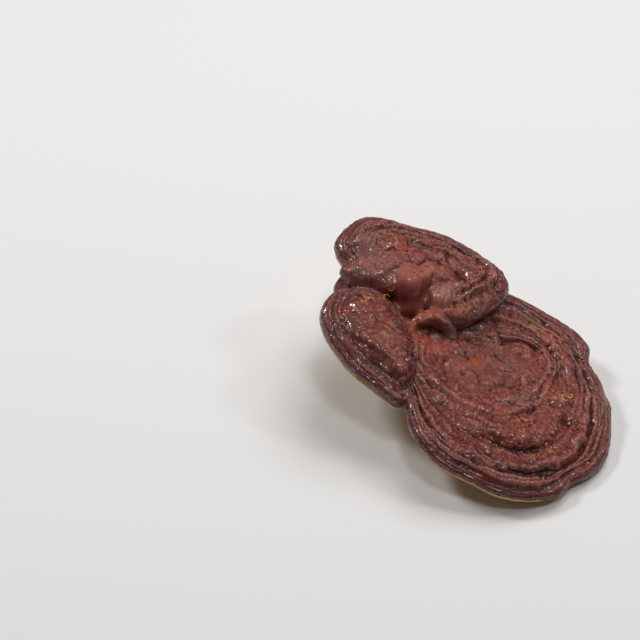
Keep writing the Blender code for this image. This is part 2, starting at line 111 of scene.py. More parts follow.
# %% Forms of the lobes, in millimetres
# A form's growth lines are points, or shares of the way out; its bumps are a place, two radii, a
# turn and a height; its grooves are points, a width and a depth; the rest goes by direction in
# degrees.
MAIN_LOBE = {
    "centre": (15.4, 0.6),
    "outline": [
        (-17.0, -23.5), (-15.0, -32.5), (-10.3, -41.5), (-2.2, -48.8), (8.7, -53.2), (20.4, -57.2),
        (32.8, -56.7), (43.4, -52.6), (49.0, -46.2), (56.0, -41.6), (60.2, -37.6), (63.2, -32.4),
        (65.2, -26.6), (66.4, -20.5), (67.0, -13.0), (67.0, -5.4), (65.2, -0.6), (63.8, 5.4),
        (61.0, 10.2), (59.7, 15.0), (60.2, 19.6), (59.0, 23.4), (55.8, 27.4), (51.8, 30.8),
        (46.2, 34.0), (39.8, 37.2), (33.0, 40.0), (26.9, 42.4), (12.0, 45.0), (-2.0, 47.5),
        (-16.0, 48.0), (-30.0, 45.0), (-41.0, 39.0), (-45.5, 32.5), (-46.5, 26.0), (-44.0, 14.0),
        (-39.0, 2.0), (-30.0, -7.0), (-22.0, -14.0),
    ],
    "growth_lines": [
        [
            (-8.2, -4.5), (-3.4, -4.8), (1.5, -6.3), (5.4, -9.3), (10.7, -11.1), (16.7, -11.3),
            (22.9, -9.4), (29.2, -6.1), (34.7, -1.9), (39.2, 4.2), (40.7, 9.6), (38.8, 14.3),
            (34.3, 16.9), (28.1, 17.5), (18.0, 15.0), (8.0, 13.0), (-2.0, 11.0), (-9.0, 4.0),
        ],
        [
            (-10.5, -10.0), (-7.8, -12.0), (-1.8, -14.6), (4.2, -18.2), (8.1, -21.2), (12.1, -22.2),
            (20.1, -22.4), (28.3, -19.2), (34.5, -15.5), (38.9, -9.6), (42.2, -2.0), (44.2, 4.5),
            (43.3, 10.4), (40.3, 16.4), (35.0, 20.4), (27.9, 22.4), (14.0, 22.0), (-2.0, 20.0),
            (-14.0, 12.0), (-15.0, 0.0),
        ],
        [
            (-9.6, -19.6), (-4.1, -25.6), (1.0, -30.7), (6.5, -33.3), (11.5, -36.0), (19.4, -37.6),
            (24.1, -38.5), (29.3, -37.9), (35.4, -35.2), (40.8, -31.3), (46.5, -24.9),
            (50.7, -15.8), (53.4, -5.3), (53.2, 4.6), (51.3, 12.8), (46.6, 19.5), (40.5, 24.9),
            (32.3, 29.3), (14.0, 31.0), (-6.0, 31.0), (-22.0, 22.0), (-22.0, 2.0), (-15.0, -11.0),
        ],
        [
            (-11.4, -27.3), (-7.9, -34.1), (-3.3, -39.6), (2.9, -43.9), (9.5, -46.7), (15.3, -48.2),
            (21.1, -48.9), (27.0, -48.6), (33.0, -47.9), (39.0, -45.7), (44.0, -42.4),
            (49.5, -37.1), (54.0, -30.1), (56.6, -21.4), (57.8, -11.4), (57.6, -1.6), (56.1, 7.2),
            (53.3, 15.2), (49.4, 20.6), (42.9, 25.9), (34.6, 30.8), (27.2, 34.9), (10.0, 38.0),
            (-12.0, 40.0), (-32.0, 31.0), (-33.0, 8.0), (-20.0, -12.0), (-14.0, -20.0),
        ],
    ],
    "line_heights": [-0.9, -0.4, 0.5, 0.9, 0.6, 0.6],
    "zone_swell": [0.5, 1.4, 3.0, 1.8, 1.2],
    "swell_share": [
        (0, 0.45), (60, 0.35), (120, 0.2), (200, 0.2), (240, 0.4), (268, 1.0), (298, 1.0),
        (320, 0.6),
    ],
    "edge_height": [(0, -2.0), (60, -1.6), (110, -2.5), (180, -2.0), (230, -2.6), (300, -2.6)],
    "shoulder_rise": [(0, 3.4), (70, 3.4), (110, 3.0), (180, 3.0), (230, 3.6), (300, 3.4)],
    "shoulder_roll": [(0, 4.2), (70, 4.2), (130, 4.0), (225, 3.6), (270, 4.0), (320, 5.0)],
    "foot_drop": [(0, 2.8), (90, 2.8), (180, 3.0), (270, 2.8)],
    "foot_roll": [(0, 2.0)],
    "bumps": [
        ((-6.0, 4.5), (8.0, 6.5), 20.0, 3.4), ((-14.0, -3.0), (7.0, 10.0), 20.0, 3.6),
        ((46.5, -19.0), (4.4, 3.6), 30.0, -2.2), ((51.0, -27.0), (4.6, 4.0), 20.0, 1.8),
        ((52.5, -17.0), (3.4, 5.0), -10.0, 1.0), ((-14.0, 24.0), (9.0, 8.0), 0.0, -2.2),
    ],
    "grooves": [
        ([(50.0, -47.0), (46.0, -41.0), (42.5, -34.0)], 2.8, 1.4),
        ([(60.0, 12.0), (53.0, 14.0), (45.0, 14.0)], 2.6, 0.9),
    ],
}

LEFT_LOBE = {
    "centre": (-26.0, 3.0),
    "outline": [
        (-15.5, -22.0), (-20.5, -24.4), (-24.3, -22.3), (-28.7, -19.0), (-33.2, -16.0),
        (-37.6, -12.7), (-41.7, -8.8), (-45.2, -4.2), (-48.2, 0.6), (-50.7, 5.6), (-52.2, 10.5),
        (-51.8, 15.5), (-49.8, 20.5), (-46.3, 24.6), (-41.0, 26.4), (-35.5, 26.8), (-29.5, 26.4),
        (-25.4, 23.8), (-22.0, 20.0), (-18.6, 16.6), (-15.2, 12.0), (-10.0, 8.0), (-7.0, 2.0),
        (-8.0, -5.0), (-11.0, -13.0),
    ],
    "growth_lines": [0.5, 0.8],
    "line_heights": [9.0, 8.4, 6.0, 3.6],
    "zone_swell": [0.1, 0.6, 0.9],
    "swell_share": [(0, 0.1), (60, 0.5), (120, 0.8), (200, 1.0), (270, 1.0), (310, 0.5)],
    "edge_height": [(0, -2.5), (60, 2.0), (120, 1.2), (180, 0.2), (240, -0.6), (290, -1.4)],
    "shoulder_rise": [(0, 1.6), (50, 3.6), (120, 4.0), (180, 4.0), (240, 4.0), (300, 3.8)],
    "shoulder_roll": [(0, 8.0), (50, 4.0), (100, 3.6), (180, 4.6), (260, 4.8), (305, 5.0)],
    "foot_drop": [(0, 2.0), (60, 5.0), (120, 5.0), (180, 4.8), (250, 4.2), (300, 3.6)],
    "foot_roll": [(0, 2.2)],
    "bumps": [
        ((-17.0, -8.0), (4.5, 6.0), 20.0, 1.4), ((-36.0, 17.0), (9.0, 6.0), -20.0, 0.8),
        ((-8.0, 0.0), (9.0, 14.0), 20.0, -4.0),
    ],
    "grooves": [],
}

UPPER_LOBE = {
    "centre": (-9.0, 38.0),
    "outline": [
        (23.4, 36.8), (22.4, 41.8), (19.8, 45.8), (15.6, 49.5), (10.0, 53.0), (4.3, 56.0),
        (-2.2, 58.8), (-8.4, 60.0), (-14.2, 60.5), (-20.5, 61.0), (-26.2, 61.7), (-31.6, 61.8),
        (-38.3, 60.0), (-42.2, 57.2), (-46.3, 50.8), (-48.4, 45.5), (-47.0, 40.5), (-43.0, 36.2),
        (-34.0, 32.0), (-26.0, 29.0), (-19.0, 27.0), (-13.6, 24.6), (-9.0, 22.4), (-5.0, 20.0),
        (-1.6, 17.2), (1.8, 15.4), (5.4, 15.8), (8.8, 18.0), (12.6, 21.0), (16.8, 24.8),
        (20.8, 29.8),
    ],
    "growth_lines": [0.46, 0.8],
    "line_heights": [13.0, 12.6, 12.6, 11.0],
    "zone_swell": [0.6, 1.5, 1.3],
    "swell_share": [(0, 1.2), (60, 1.0), (150, 0.9), (220, 0.4), (280, 0.6), (320, 1.1)],
    "edge_height": [
        (0, 7.5), (60, 7.4), (120, 7.0), (170, 6.0), (230, 5.0), (290, 5.4), (325, 6.8),
    ],
    "shoulder_rise": [
        (0, 4.0), (90, 4.0), (170, 4.2), (230, 4.0), (270, 3.6), (305, 5.0), (335, 4.8),
    ],
    "shoulder_roll": [
        (0, 6.0), (90, 5.0), (170, 4.0), (230, 3.5), (265, 8.0), (305, 8.0), (340, 7.5),
    ],
    "foot_drop": [(0, 4.6), (90, 5.2), (170, 5.2), (230, 5.0), (290, 6.6), (325, 5.2)],
    "foot_roll": [(0, 3.0), (120, 2.2), (250, 2.0), (320, 3.4)],
    "bumps": [
        ((-22.0, 44.0), (10.0, 6.0), 0.0, 1.0), ((-20.0, 36.0), (8.0, 6.0), 0.0, 2.0),
        ((-33.0, 36.0), (8.0, 4.0), 0.0, -1.0), ((12.0, 31.0), (6.0, 8.0), -30.0, 1.4),
        ((-4.0, 26.0), (9.0, 6.0), 0.0, -4.0),
    ],
    "grooves": [
        ([(13.0, 33.5), (17.0, 31.5), (21.0, 29.0)], 1.8, 0.9),
        ([(9.0, 27.0), (12.0, 23.5), (14.5, 20.0)], 1.8, 0.9),
    ],
}
print("points in the outlines:", [len(f["outline"]) for f in (MAIN_LOBE, LEFT_LOBE, UPPER_LOBE)])

# %% Curves through values by direction
LAYER_STEP = 7.31


def around(stations, degrees):
    """A smooth curve through (degrees, value) stations round a full turn."""
    at, value = np.array(sorted((d % 360.0, v) for d, v in stations)).T
    if len(at) == 1:
        return np.full(np.shape(degrees), value[0])
    at = np.concatenate([at - 360.0, at, at + 360.0])
    value = np.tile(value, 3)
    slope = np.zeros(len(at))
    slope[1:-1] = (value[2:] - value[:-2]) / (at[2:] - at[:-2])
    degrees = np.asarray(degrees) % 360.0
    i = np.searchsorted(at, degrees, side="right") - 1
    span = at[i + 1] - at[i]
    t = (degrees - at[i]) / span
    return (
        (2 * t**3 - 3 * t**2 + 1) * value[i]
        + (t**3 - 2 * t**2 + t) * slope[i] * span
        + (3 * t**2 - 2 * t**3) * value[i + 1]
        + (t**3 - t**2) * slope[i + 1] * span
    )


def radius_around(points, centre, degrees):
    """How far a closed line lies from the centre, in each direction."""
    away = [(x - centre[0], y - centre[1]) for x, y in points]
    return around([(math.degrees(math.atan2(y, x)), math.hypot(x, y)) for x, y in away], degrees)


def step(share):
    """From 0 to 1 with soft ends."""
    share = np.clip(share, 0.0, 1.0)
    return share * share * (3.0 - 2.0 * share)


def swell(share):
    """A growth zone's rise between two creases, fullest towards the outer one."""
    return np.sin(np.pi * np.clip(share, 0.0, 1.0) ** 1.5) ** 0.7


def noise_at(points, size, layer):
    """Soft random values from -1 to 1, whose features are about one size wide."""
    places = (points.reshape(-1, 3) / size + layer * LAYER_STEP).tolist()
    return np.array([noise.noise(place) for place in places]).reshape(points.shape[:-1])


print("step halfway:", step(0.5), " swell at its fullest:", round(float(swell(0.63)), 3))

# %% Bumps, grooves and the underside
UNDERSIDE_HEIGHT = -5.2
UNDERSIDE_BULGE = 3.4
UNDERSIDE_BULGE_SIZE = 34.0
STEM_TOP = (-2.0, 5.0, -3.0)


def bumps_at(x, y, bumps):
    """The height of all the round bumps together, at each place."""
    total = np.zeros_like(x)
    for (centre_x, centre_y), (radius_x, radius_y), turn, height in bumps:
        cos, sin = math.cos(math.radians(turn)), math.sin(math.radians(turn))
        dx, dy = x - centre_x, y - centre_y
        across, along_it = (dx * cos + dy * sin) / radius_x, (dy * cos - dx * sin) / radius_y
        total += height * np.exp(-(across**2) - along_it**2)
    return total


def distance_to(x, y, points):
    """How far each place is from a line of points."""
    nearest = np.full_like(x, 1e9)
    for (x0, y0), (x1, y1) in zip(points, points[1:]):
        dx, dy = x1 - x0, y1 - y0
        share = np.clip(((x - x0) * dx + (y - y0) * dy) / (dx * dx + dy * dy), 0.0, 1.0)
        nearest = np.minimum(nearest, np.hypot(x - x0 - share * dx, y - y0 - share * dy))
    return nearest


def grooves_at(x, y, grooves):
    """How far all the soft grooves together lower each place."""
    total = np.zeros_like(x)
    for points, width, depth in grooves:
        total -= depth * np.exp(-((distance_to(x, y, points) / width) ** 2))
    return total


def underside(x, y):
    """The height of the pale underside, which bulges down round the stem."""
    away = (x - STEM_TOP[0]) ** 2 + (y - STEM_TOP[1]) ** 2
    return UNDERSIDE_HEIGHT - UNDERSIDE_BULGE * np.exp(-away / UNDERSIDE_BULGE_SIZE**2)


print("underside at the stem and at the rim:", [underside(x, 0.0).round(2) for x in (0.0, 60.0)])

# %% The lobe's sections
ZONE_BANDS, SHOULDER_BANDS, FOOT_BANDS, UNDER_BANDS = 12, 10, 4, 16
NARROWEST_ZONE = 1.4
UNDERSIDE_STEP = 0.3
BY_DIRECTION = (
    "swell_share", "edge_height", "shoulder_rise", "shoulder_roll", "foot_drop", "foot_roll",
)
# Height and width of the slow swells that keep a lobe from looking even
BROAD_SWELL, NARROW_SWELL = (0.9, 17.0), (0.35, 5.0)


def lumpy(points, height, size, layer):
    """Soft random swells of one height and one width."""
    return height * noise_at(points, size, layer)


class Lobe:
    """A lobe's surface as a grid: rows by direction, columns from the top to the underside."""

    def __init__(self, name, form, layer, directions):
        self.name, self.centre = name, form["centre"]
        self.degrees = np.arange(directions) * 360.0 / directions
        radius, height, shown = self.sections(form)
        angle = np.radians(self.degrees)[:, None]
        x = self.centre[0] + radius * np.cos(angle)
        y = self.centre[1] + radius * np.sin(angle)
        flat = np.stack([x, y, np.full_like(x, 20.0 * layer)], axis=-1)
        uneven = lumpy(flat, *BROAD_SWELL, 0.0) + lumpy(flat, *NARROW_SWELL, 1.0)
        relief = bumps_at(x, y, form["bumps"]) + grooves_at(x, y, form["grooves"]) + uneven
        height = height + np.clip(shown, 0.0, 1.0) * relief
        below = underside(x, y) + layer * UNDERSIDE_STEP
        height += (below - height) * np.where(shown < 0.0, 1.0 - (1.0 + shown) ** 3, 0.0)
        self.radius = radius
        self.points = np.stack([x, y, height], axis=-1)
        steps = np.hypot(np.diff(radius, axis=1), np.diff(height, axis=1))
        self.walked = np.concatenate([np.zeros((directions, 1)), np.cumsum(steps, axis=1)], axis=1)
        self.rim_band = (len(form["growth_lines"]) + 1) * ZONE_BANDS + SHOULDER_BANDS

    def sections(self, form):
        """Radius, height and share of relief, for every direction and band."""
        value = {key: around(form[key], self.degrees)[:, None] for key in BY_DIRECTION}
        outer = radius_around(form["outline"], self.centre, self.degrees)[:, None]
        reach = outer - value["shoulder_roll"]
        radii = [reach]
        for line in reversed(form["growth_lines"]):
            if isinstance(line, float):
                radius = line * reach
            else:
                radius = radius_around(line, self.centre, self.degrees)[:, None]
            radii.append(np.minimum(radius, radii[-1] - NARROWEST_ZONE))
        radii = np.concatenate([np.zeros_like(reach), *reversed(radii)], axis=1)
        zones = radii.shape[1] - 1
        place = np.arange(zones * ZONE_BANDS + 1) / ZONE_BANDS
        zone = np.minimum(place.astype(int), zones - 1)
        share = place - zone
        top_radius = radii[:, zone] + (radii[:, zone + 1] - radii[:, zone]) * share
        heights = np.repeat(np.array(form["line_heights"])[None, :], len(self.degrees), axis=0)
        heights[:, -1:] = value["edge_height"] + value["shoulder_rise"]
        top_height = heights[:, zone] + (heights[:, zone + 1] - heights[:, zone]) * share
        top_height += np.array(form["zone_swell"])[zone] * value["swell_share"] * swell(share)
        angle = np.pi / 2 * (1.0 - np.arange(1, SHOULDER_BANDS + 1) / SHOULDER_BANDS)
        roll_radius = outer - value["shoulder_roll"] * (1.0 - np.cos(angle))
        roll_height = value["edge_height"] + value["shoulder_rise"] * np.sin(angle)
        down = np.pi / 2 * np.arange(1, FOOT_BANDS + 1) / FOOT_BANDS
        foot_radius = outer - value["foot_roll"] * (1.0 - np.cos(down))
        foot_height = value["edge_height"] - value["foot_drop"] * np.sin(down)
        inwards = 1.0 - np.arange(1, UNDER_BANDS + 1) / UNDER_BANDS
        under_radius = (outer - value["foot_roll"]) * inwards
        under_height = np.repeat(foot_height[:, -1:], UNDER_BANDS, axis=1)
        shown = [np.ones(len(place)), np.sin(angle), np.zeros(FOOT_BANDS), inwards - 1.0]
        shown = np.repeat(np.concatenate(shown)[None, :], len(self.degrees), axis=0)
        radius = np.concatenate([top_radius, roll_radius, foot_radius, under_radius], axis=1)
        height = np.concatenate([top_height, roll_height, foot_height, under_height], axis=1)
        return radius, height, shown

    def mesh(self):
        """The grid as one closed mesh, with a single point at the top and at the bottom."""
        rows, columns = self.points.shape[:2]
        ring = self.points[:, 1:-1].reshape(-1, 3)
        points = np.concatenate([ring, self.points[:1, 0], self.points[:1, -1]])
        inner = columns - 2
        top, bottom = rows * inner, rows * inner + 1
        faces = []
        for row in range(rows):
            here, there = row * inner, (row + 1) % rows * inner
            faces.append((top, here, there))
            pairs = zip(range(here, here + inner - 1), range(there, there + inner - 1))
            faces.extend((a, a + 1, b + 1, b) for a, b in pairs)
            faces.append((bottom, there + inner - 1, here + inner - 1))
        mesh = bpy.data.meshes.new(self.name)
        mesh.from_pydata(points.tolist(), [], faces)
        return mesh


lobes = [
    Lobe("main_lobe", MAIN_LOBE, 0, 420),
    Lobe("left_lobe", LEFT_LOBE, 1, 300),
    Lobe("upper_lobe", UPPER_LOBE, 2, 320),
]
for lobe in lobes:
    longest = round(float(lobe.walked.max()), 1)
    print(lobe.name, "grid", lobe.points.shape[:2], "longest section", longest, "mm")

# %% [markdown]
# ## Knobs, the fold over the hollow, and the stem
#
# Where the lobes met, the flesh swelled into smooth knobs, and a thin fold closed over the hollow
# beside the stem. At the foot of each knob the crust slopes up to it, so there lie more and flatter
# knobs, nearly sunk. The stem was cut off flat, close under the cap.

# %% Knobs, fold and stem
KNOBS = {
    "tongue_under_the_upper_lobe": ((-31.0, 32.8, 5.0), (14.5, 7.4, 6.8), 4.0),
    "knob_over_the_pocket": ((-19.0, 31.0, 6.0), (7.6, 9.4, 8.8), 12.0),
    "knob_beside_it": ((-11.6, 34.0, 8.6), (5.4, 6.4, 5.8), -15.0),
    "knob_in_the_pocket": ((-13.6, 25.0, -0.4), (6.0, 6.0, 5.6), 0.0),
    "fold_behind_the_pocket": ((-3.6, 27.4, 3.6), (7.6, 8.6, 8.0), -30.0),
    "slope_to_the_tongue": ((-29.0, 35.5, 6.5), (11.5, 7.5, 6.9), 8.0),
    "slope_to_the_knob": ((-25.5, 31.5, 5.4), (6.5, 7.0, 7.2), 0.0),
    "slope_in_the_pocket": ((-17.5, 24.6, 1.4), (6.4, 6.0, 5.0), 0.0),
}
PUCKERED_KNOBS = ("tongue_under_the_upper_lobe", "slope_to_the_tongue", "slope_to_the_knob")
NECK_FOLD = [
    ((-18.5, 10.0, 0.8), 1.8), ((-15.6, 13.6, 2.4), 2.5), ((-11.5, 16.8, 3.4), 3.2),
    ((-7.0, 18.2, 3.6), 3.6), ((-2.6, 17.6, 3.2), 3.5), ((0.4, 14.8, 1.8), 2.9),
    ((1.6, 11.4, 0.2), 2.0),
]
STEM_CUT_RADIUS = 11.5
FOOT_OF_STEM = LEAN.T @ (np.array((0.0, 0.0, -3.0)) - CAP_PLACE / MM)
# Share of the way up the stem, its width there, and how far it has turned with the cap
STEM_LEVELS = [
    (0.0, 1.0, 0.0), (0.22, 0.97, 0.0), (0.42, 0.94, 0.25), (0.62, 1.08, 0.7), (0.8, 1.45, 0.95),
    (1.0, 2.1, 1.0),
]


def finished(bm, name):
    """The work on a mesh as a mesh of its own, facing outwards."""
    bmesh.ops.recalc_face_normals(bm, faces=bm.faces)
    mesh = bpy.data.meshes.new(name)
    bm.to_mesh(mesh)
    bm.free()
    return mesh


def evaluated_mesh(thing):
    """What an object's modifiers make, as a plain mesh; the object itself goes."""
    graph = bpy.context.evaluated_depsgraph_get()
    mesh = bpy.data.meshes.new_from_object(thing.evaluated_get(graph))
    bpy.data.objects.remove(thing)
    return mesh


def knob_mesh(name, centre, half_sizes, turn):
    """A round knob, longer one way than the other."""
    bm = bmesh.new()
    shape = (
        Matrix.Translation(centre)
        @ Matrix.Rotation(math.radians(turn), 4, "Z")
        @ Matrix.Diagonal((*half_sizes, 1.0))
    )
    bmesh.ops.create_icosphere(bm, subdivisions=5, radius=1.0, matrix=shape)
    return finished(bm, name)


def fold_mesh(name, stations):
    """A round fold along its points, thinner at both ends."""
    curve = bpy.data.curves.new(name, "CURVE")
    curve.dimensions = "3D"
    curve.bevel_depth = 1.0
    curve.bevel_resolution = 8
    curve.use_fill_caps = True
    curve.resolution_u = 12
    spline = curve.splines.new("NURBS")
    spline.points.add(len(stations) - 1)
    spline.use_endpoint_u = True
    spline.order_u = 4
    for point, (place, thickness) in zip(spline.points, stations):
        point.co = (*place, 1.0)
        point.radius = thickness
    bm = bmesh.new()
    bm.from_mesh(evaluated_mesh(new_object(name, curve)))
    bmesh.ops.remove_doubles(bm, verts=bm.verts, dist=0.01)
    return finished(bm, name)


def stem_mesh(name):
    """The stem, from below the cut up into the cap, turning from the table's level to the cap's."""
    rows, columns = 6 * (len(STEM_LEVELS) - 1) + 1, 96
    angle = np.arange(columns) * 2 * np.pi / columns
    lumps = 1.0 + 0.05 * np.sin(3 * angle + 0.7) + 0.03 * np.sin(5 * angle)
    spoke = np.stack([np.cos(angle), np.sin(angle), np.zeros(columns)], axis=-1) * lumps[:, None]
    at = np.linspace(0, len(STEM_LEVELS) - 1, rows)
    levels = range(len(STEM_LEVELS))
    share, width, turned = (np.interp(at, levels, column) for column in zip(*STEM_LEVELS))
    bm = bmesh.new()
    rings = []
    for s, w, t in zip(share, width, turned):
        across = (spoke * t + (spoke @ LEAN) * (1.0 - t)) * STEM_CUT_RADIUS * w
        middle = FOOT_OF_STEM * (1.0 - s) + np.array(STEM_TOP) * s
        rings.append([bm.verts.new(place) for place in (middle + across).tolist()])
    for low, high in zip(rings, rings[1:]):
        for k in range(columns):
            bm.faces.new((low[k - 1], low[k], high[k], high[k - 1]))
    bm.faces.new(reversed(rings[0]))
    bm.faces.new(rings[-1])
    return finished(bm, name)


soft_parts = [knob_mesh(name, *form) for name, form in KNOBS.items()]
soft_parts.append(fold_mesh("neck_fold", NECK_FOLD))
soft_parts.append(stem_mesh("stem"))
print("soft parts:", {mesh.name: len(mesh.polygons) for mesh in soft_parts})

# %% [markdown]
# ## One skin
#
# The lobes and knobs overlap as separate closed forms. A voxel remesh keeps only what shows from
# outside, as one skin of even faces under half a millimetre wide. That is fine enough to carve the
# creases into, and a real mushroom has no seam there either.

# %% One skin of even faces
SKIN_FACE = 0.42


def one_skin(parts):
    """All the closed parts as one mesh of what shows from outside."""
    bm = bmesh.new()
    for part in parts:
        bm.from_mesh(part)
    remesh = new_object("skin", finished(bm, "skin")).modifiers.new("skin", "REMESH")
    remesh.mode = "VOXEL"
    remesh.voxel_size = SKIN_FACE
    return evaluated_mesh(remesh.id_data)


def corners(mesh):
    """The mesh's points and its four-sided faces as arrays."""
    points = np.empty(len(mesh.vertices) * 3)
    mesh.vertices.foreach_get("co", points)
    faces = np.empty(len(mesh.loops), dtype=np.int64)
    mesh.loops.foreach_get("vertex_index", faces)
    return points.reshape(-1, 3), faces.reshape(-1, 4)


skin = one_skin([lobe.mesh() for lobe in lobes] + soft_parts)
points, faces = corners(skin)
print("skin:", len(points), "points,", len(faces), "faces")

# %% [markdown]
# Where the left lobe and the main lobe grew into each other there is no crease but one soft slope,
# and the knobs melt into the plateau above them. Moving each point towards the middle of its
# neighbours, many times over and only in those places, gives that.

# %% Soft merges
# Places on the cap's plan: centre, radius, rounds of smoothing, and whether only valleys fill up
MERGES = [
    ((-13.0, 2.0), 12.0, 500, True), ((-12.0, -7.0), 5.5, 60, True),
    ((-28.0, 5.0), 15.0, 160, False), ((-25.0, 40.0), 9.0, 200, True),
    ((-36.0, 37.0), 11.0, 700, True), ((-27.0, 33.0), 7.0, 300, True),
    ((-2.0, 33.0), 7.0, 60, True), ((1.0, 10.0), 5.0, 50, True), ((-17.0, 12.0), 4.5, 50, True),
    ((-8.0, 22.0), 4.5, 150, True), ((-18.0, 29.5), 8.5, 250, True),
]


def neighbour_mean(values, faces):
    """The mean of each point's neighbours along the edges."""
    start, end = faces.ravel(), np.roll(faces, -1, axis=1).ravel()
    count = np.bincount(start, minlength=len(values))
    sums = [np.bincount(start, weights=column[end], minlength=len(values)) for column in values.T]
    return np.stack(sums, axis=-1) / np.maximum(count, 1)[:, None]


def normals_of(points, faces):
    """Directions outwards at the points."""
    a, b, c, d = (points[faces[:, i]] for i in range(4))
    facing = np.cross(c - a, d - b)
    sums = [
        np.bincount(faces.ravel(), weights=np.repeat(column, 4), minlength=len(points))
        for column in facing.T
    ]
    normal = np.stack(sums, axis=-1)
    return normal / np.maximum(np.linalg.norm(normal, axis=1), 1e-9)[:, None]


def soften(points, faces, share, rounds, fill):
    """Rounds of smoothing on one part of the skin; filling moves points outwards only."""
    part = faces[np.any(share[faces] > 0.02, axis=1)]
    used = np.unique(part)
    small = np.searchsorted(used, part)
    local, local_share = points[used], share[used, None]
    edge = np.bincount(small.ravel(), minlength=len(used)) < 3
    local_share[edge] = 0.0
    for i in range(rounds):
        move = neighbour_mean(local, small) - local
        if fill:
            if i % 5 == 0:
                normal = normals_of(local, small)
            inwards = np.minimum(np.einsum("ij,ij->i", move, normal), 0.0)
            move -= normal * inwards[:, None]
        local += local_share * move
    points[used] = local


on_top = normals_of(points, faces)[:, 2] > -0.2
for _ in range(3):
    points += 0.5 * (neighbour_mean(points, faces) - points)
for centre, radius, rounds, fill in MERGES:
    near = np.exp(-((np.hypot(points[:, 0] - centre[0], points[:, 1] - centre[1]) / radius) ** 4))
    soften(points, faces, near * on_top * 0.5, rounds, fill)
print("points on top:", int(on_top.sum()))

# %% [markdown]
# ## Where each point lies in the growth
#
# To carve creases that follow the growth, each point of the skin needs to know its lobe, its
# direction from that lobe's centre, how far along the section it lies, and how near it is to the
# rim. Each lobe answers by laying the point against its own section in that direction.

# %% Place in the growth
POINTS_AT_ONCE = 20000
FAR_OFF = 99.0
BLEND_WIDTH = 0.5


def place_in(lobe, points):
    """How far off the lobe's surface points lie, in which direction, and how far outwards."""
    rows = len(lobe.degrees)
    away = points[:, :2] - lobe.centre
    reach, degrees = np.hypot(*away.T), np.degrees(np.arctan2(away[:, 1], away[:, 0])) % 360.0
    near = reach < around(list(zip(lobe.degrees, lobe.radius.max(axis=1))), degrees) + 4.0
    found = {key: np.zeros(len(points)) for key in ("off", "column", "walked")}
    found["off"][:] = FAR_OFF
    for part in np.array_split(np.flatnonzero(near), max(1, near.sum() // POINTS_AT_ONCE)):
        place = degrees[part] / 360.0 * rows
        row = place.astype(int) % rows
        share = (place - np.floor(place))[:, None]
        radius, height, walked = (
            grid[row] * (1.0 - share) + grid[(row + 1) % rows] * share
            for grid in (lobe.radius, lobe.points[:, :, 2], lobe.walked)
        )
        step_r, step_h = np.diff(radius, axis=1), np.diff(height, axis=1)
        from_r = reach[part, None] - radius[:, :-1]
        from_h = points[part, 2][:, None] - height[:, :-1]
        t = np.clip((from_r * step_r + from_h * step_h) / (step_r**2 + step_h**2 + 1e-9), 0.0, 1.0)
        off = np.hypot(from_r - t * step_r, from_h - t * step_h)
        best = off.argmin(axis=1)
        pick = (np.arange(len(part)), best)
        found["off"][part] = off[pick]
        found["column"][part] = best + t[pick]
        found["walked"][part] = walked[pick] + t[pick] * np.diff(walked, axis=1)[pick]
    return {"degrees": degrees, **found}


def off_ellipsoid(points, centre, half_sizes, turn):
    """Roughly how far points lie from a rounded knob."""
    cos, sin = math.cos(math.radians(turn)), math.sin(math.radians(turn))
    dx, dy, dz = (points - centre).T
    local = np.stack([dx * cos + dy * sin, dy * cos - dx * sin, dz], axis=-1)
    scaled = np.linalg.norm(local / half_sizes, axis=1)
    return np.abs(scaled - 1.0) * np.linalg.norm(local, axis=1) / np.maximum(scaled, 0.05)


def off_fold(points, stations):
    """How far points lie from the surface of the round fold."""
    nearest = np.full(len(points), FAR_OFF)
    for (start, thick), (end, thick_end) in zip(stations, stations[1:]):
        line = np.subtract(end, start)
        share = np.clip((points - start) @ line / (line @ line), 0.0, 1.0)
        gap = np.linalg.norm(points - start - share[:, None] * line, axis=1)
        nearest = np.minimum(nearest, np.abs(gap - (thick + (thick_end - thick) * share)))
    return nearest


def off_knobs(points, puckered):
    """How far points lie from the nearest of the smooth knobs, or of the puckered ones."""
    forms = [form for name, form in KNOBS.items() if (name in PUCKERED_KNOBS) == puckered]
    return np.min([off_ellipsoid(points, *form) for form in forms], axis=0)


# One row for each lobe, then one each for the smooth knobs, the fold and the puckered tongue
KNOB, FOLD, TONGUE = 3, 4, 5
growth = {lobe.name: place_in(lobe, points) for lobe in lobes}
off = [growth[lobe.name]["off"] for lobe in lobes]
off += [off_knobs(points, False), off_fold(points, NECK_FOLD), off_knobs(points, True)]
off = np.stack(off)
share_of = np.exp(-(off - off.min(axis=0)) / BLEND_WIDTH)
share_of /= share_of.sum(axis=0)
nearest = np.bincount(off.argmin(axis=0)).tolist()
print("points nearest to each lobe, knobs, fold and tongue:", nearest)

# %% [markdown]
# ## Creases, puckers and the striped margin
#
# Each stop in the growth left a crease, and the growth between two stops swelled in low waves. The
# crust puckered as the flesh under it dried: soft puffs with sharp valleys between them, pleats
# across the growth and ripples along it. The last centimetre before the rim grew in thin even
# steps, so it is striped at the back and right. These small forms follow rules, because thousands
# of them look alike and none matters alone.

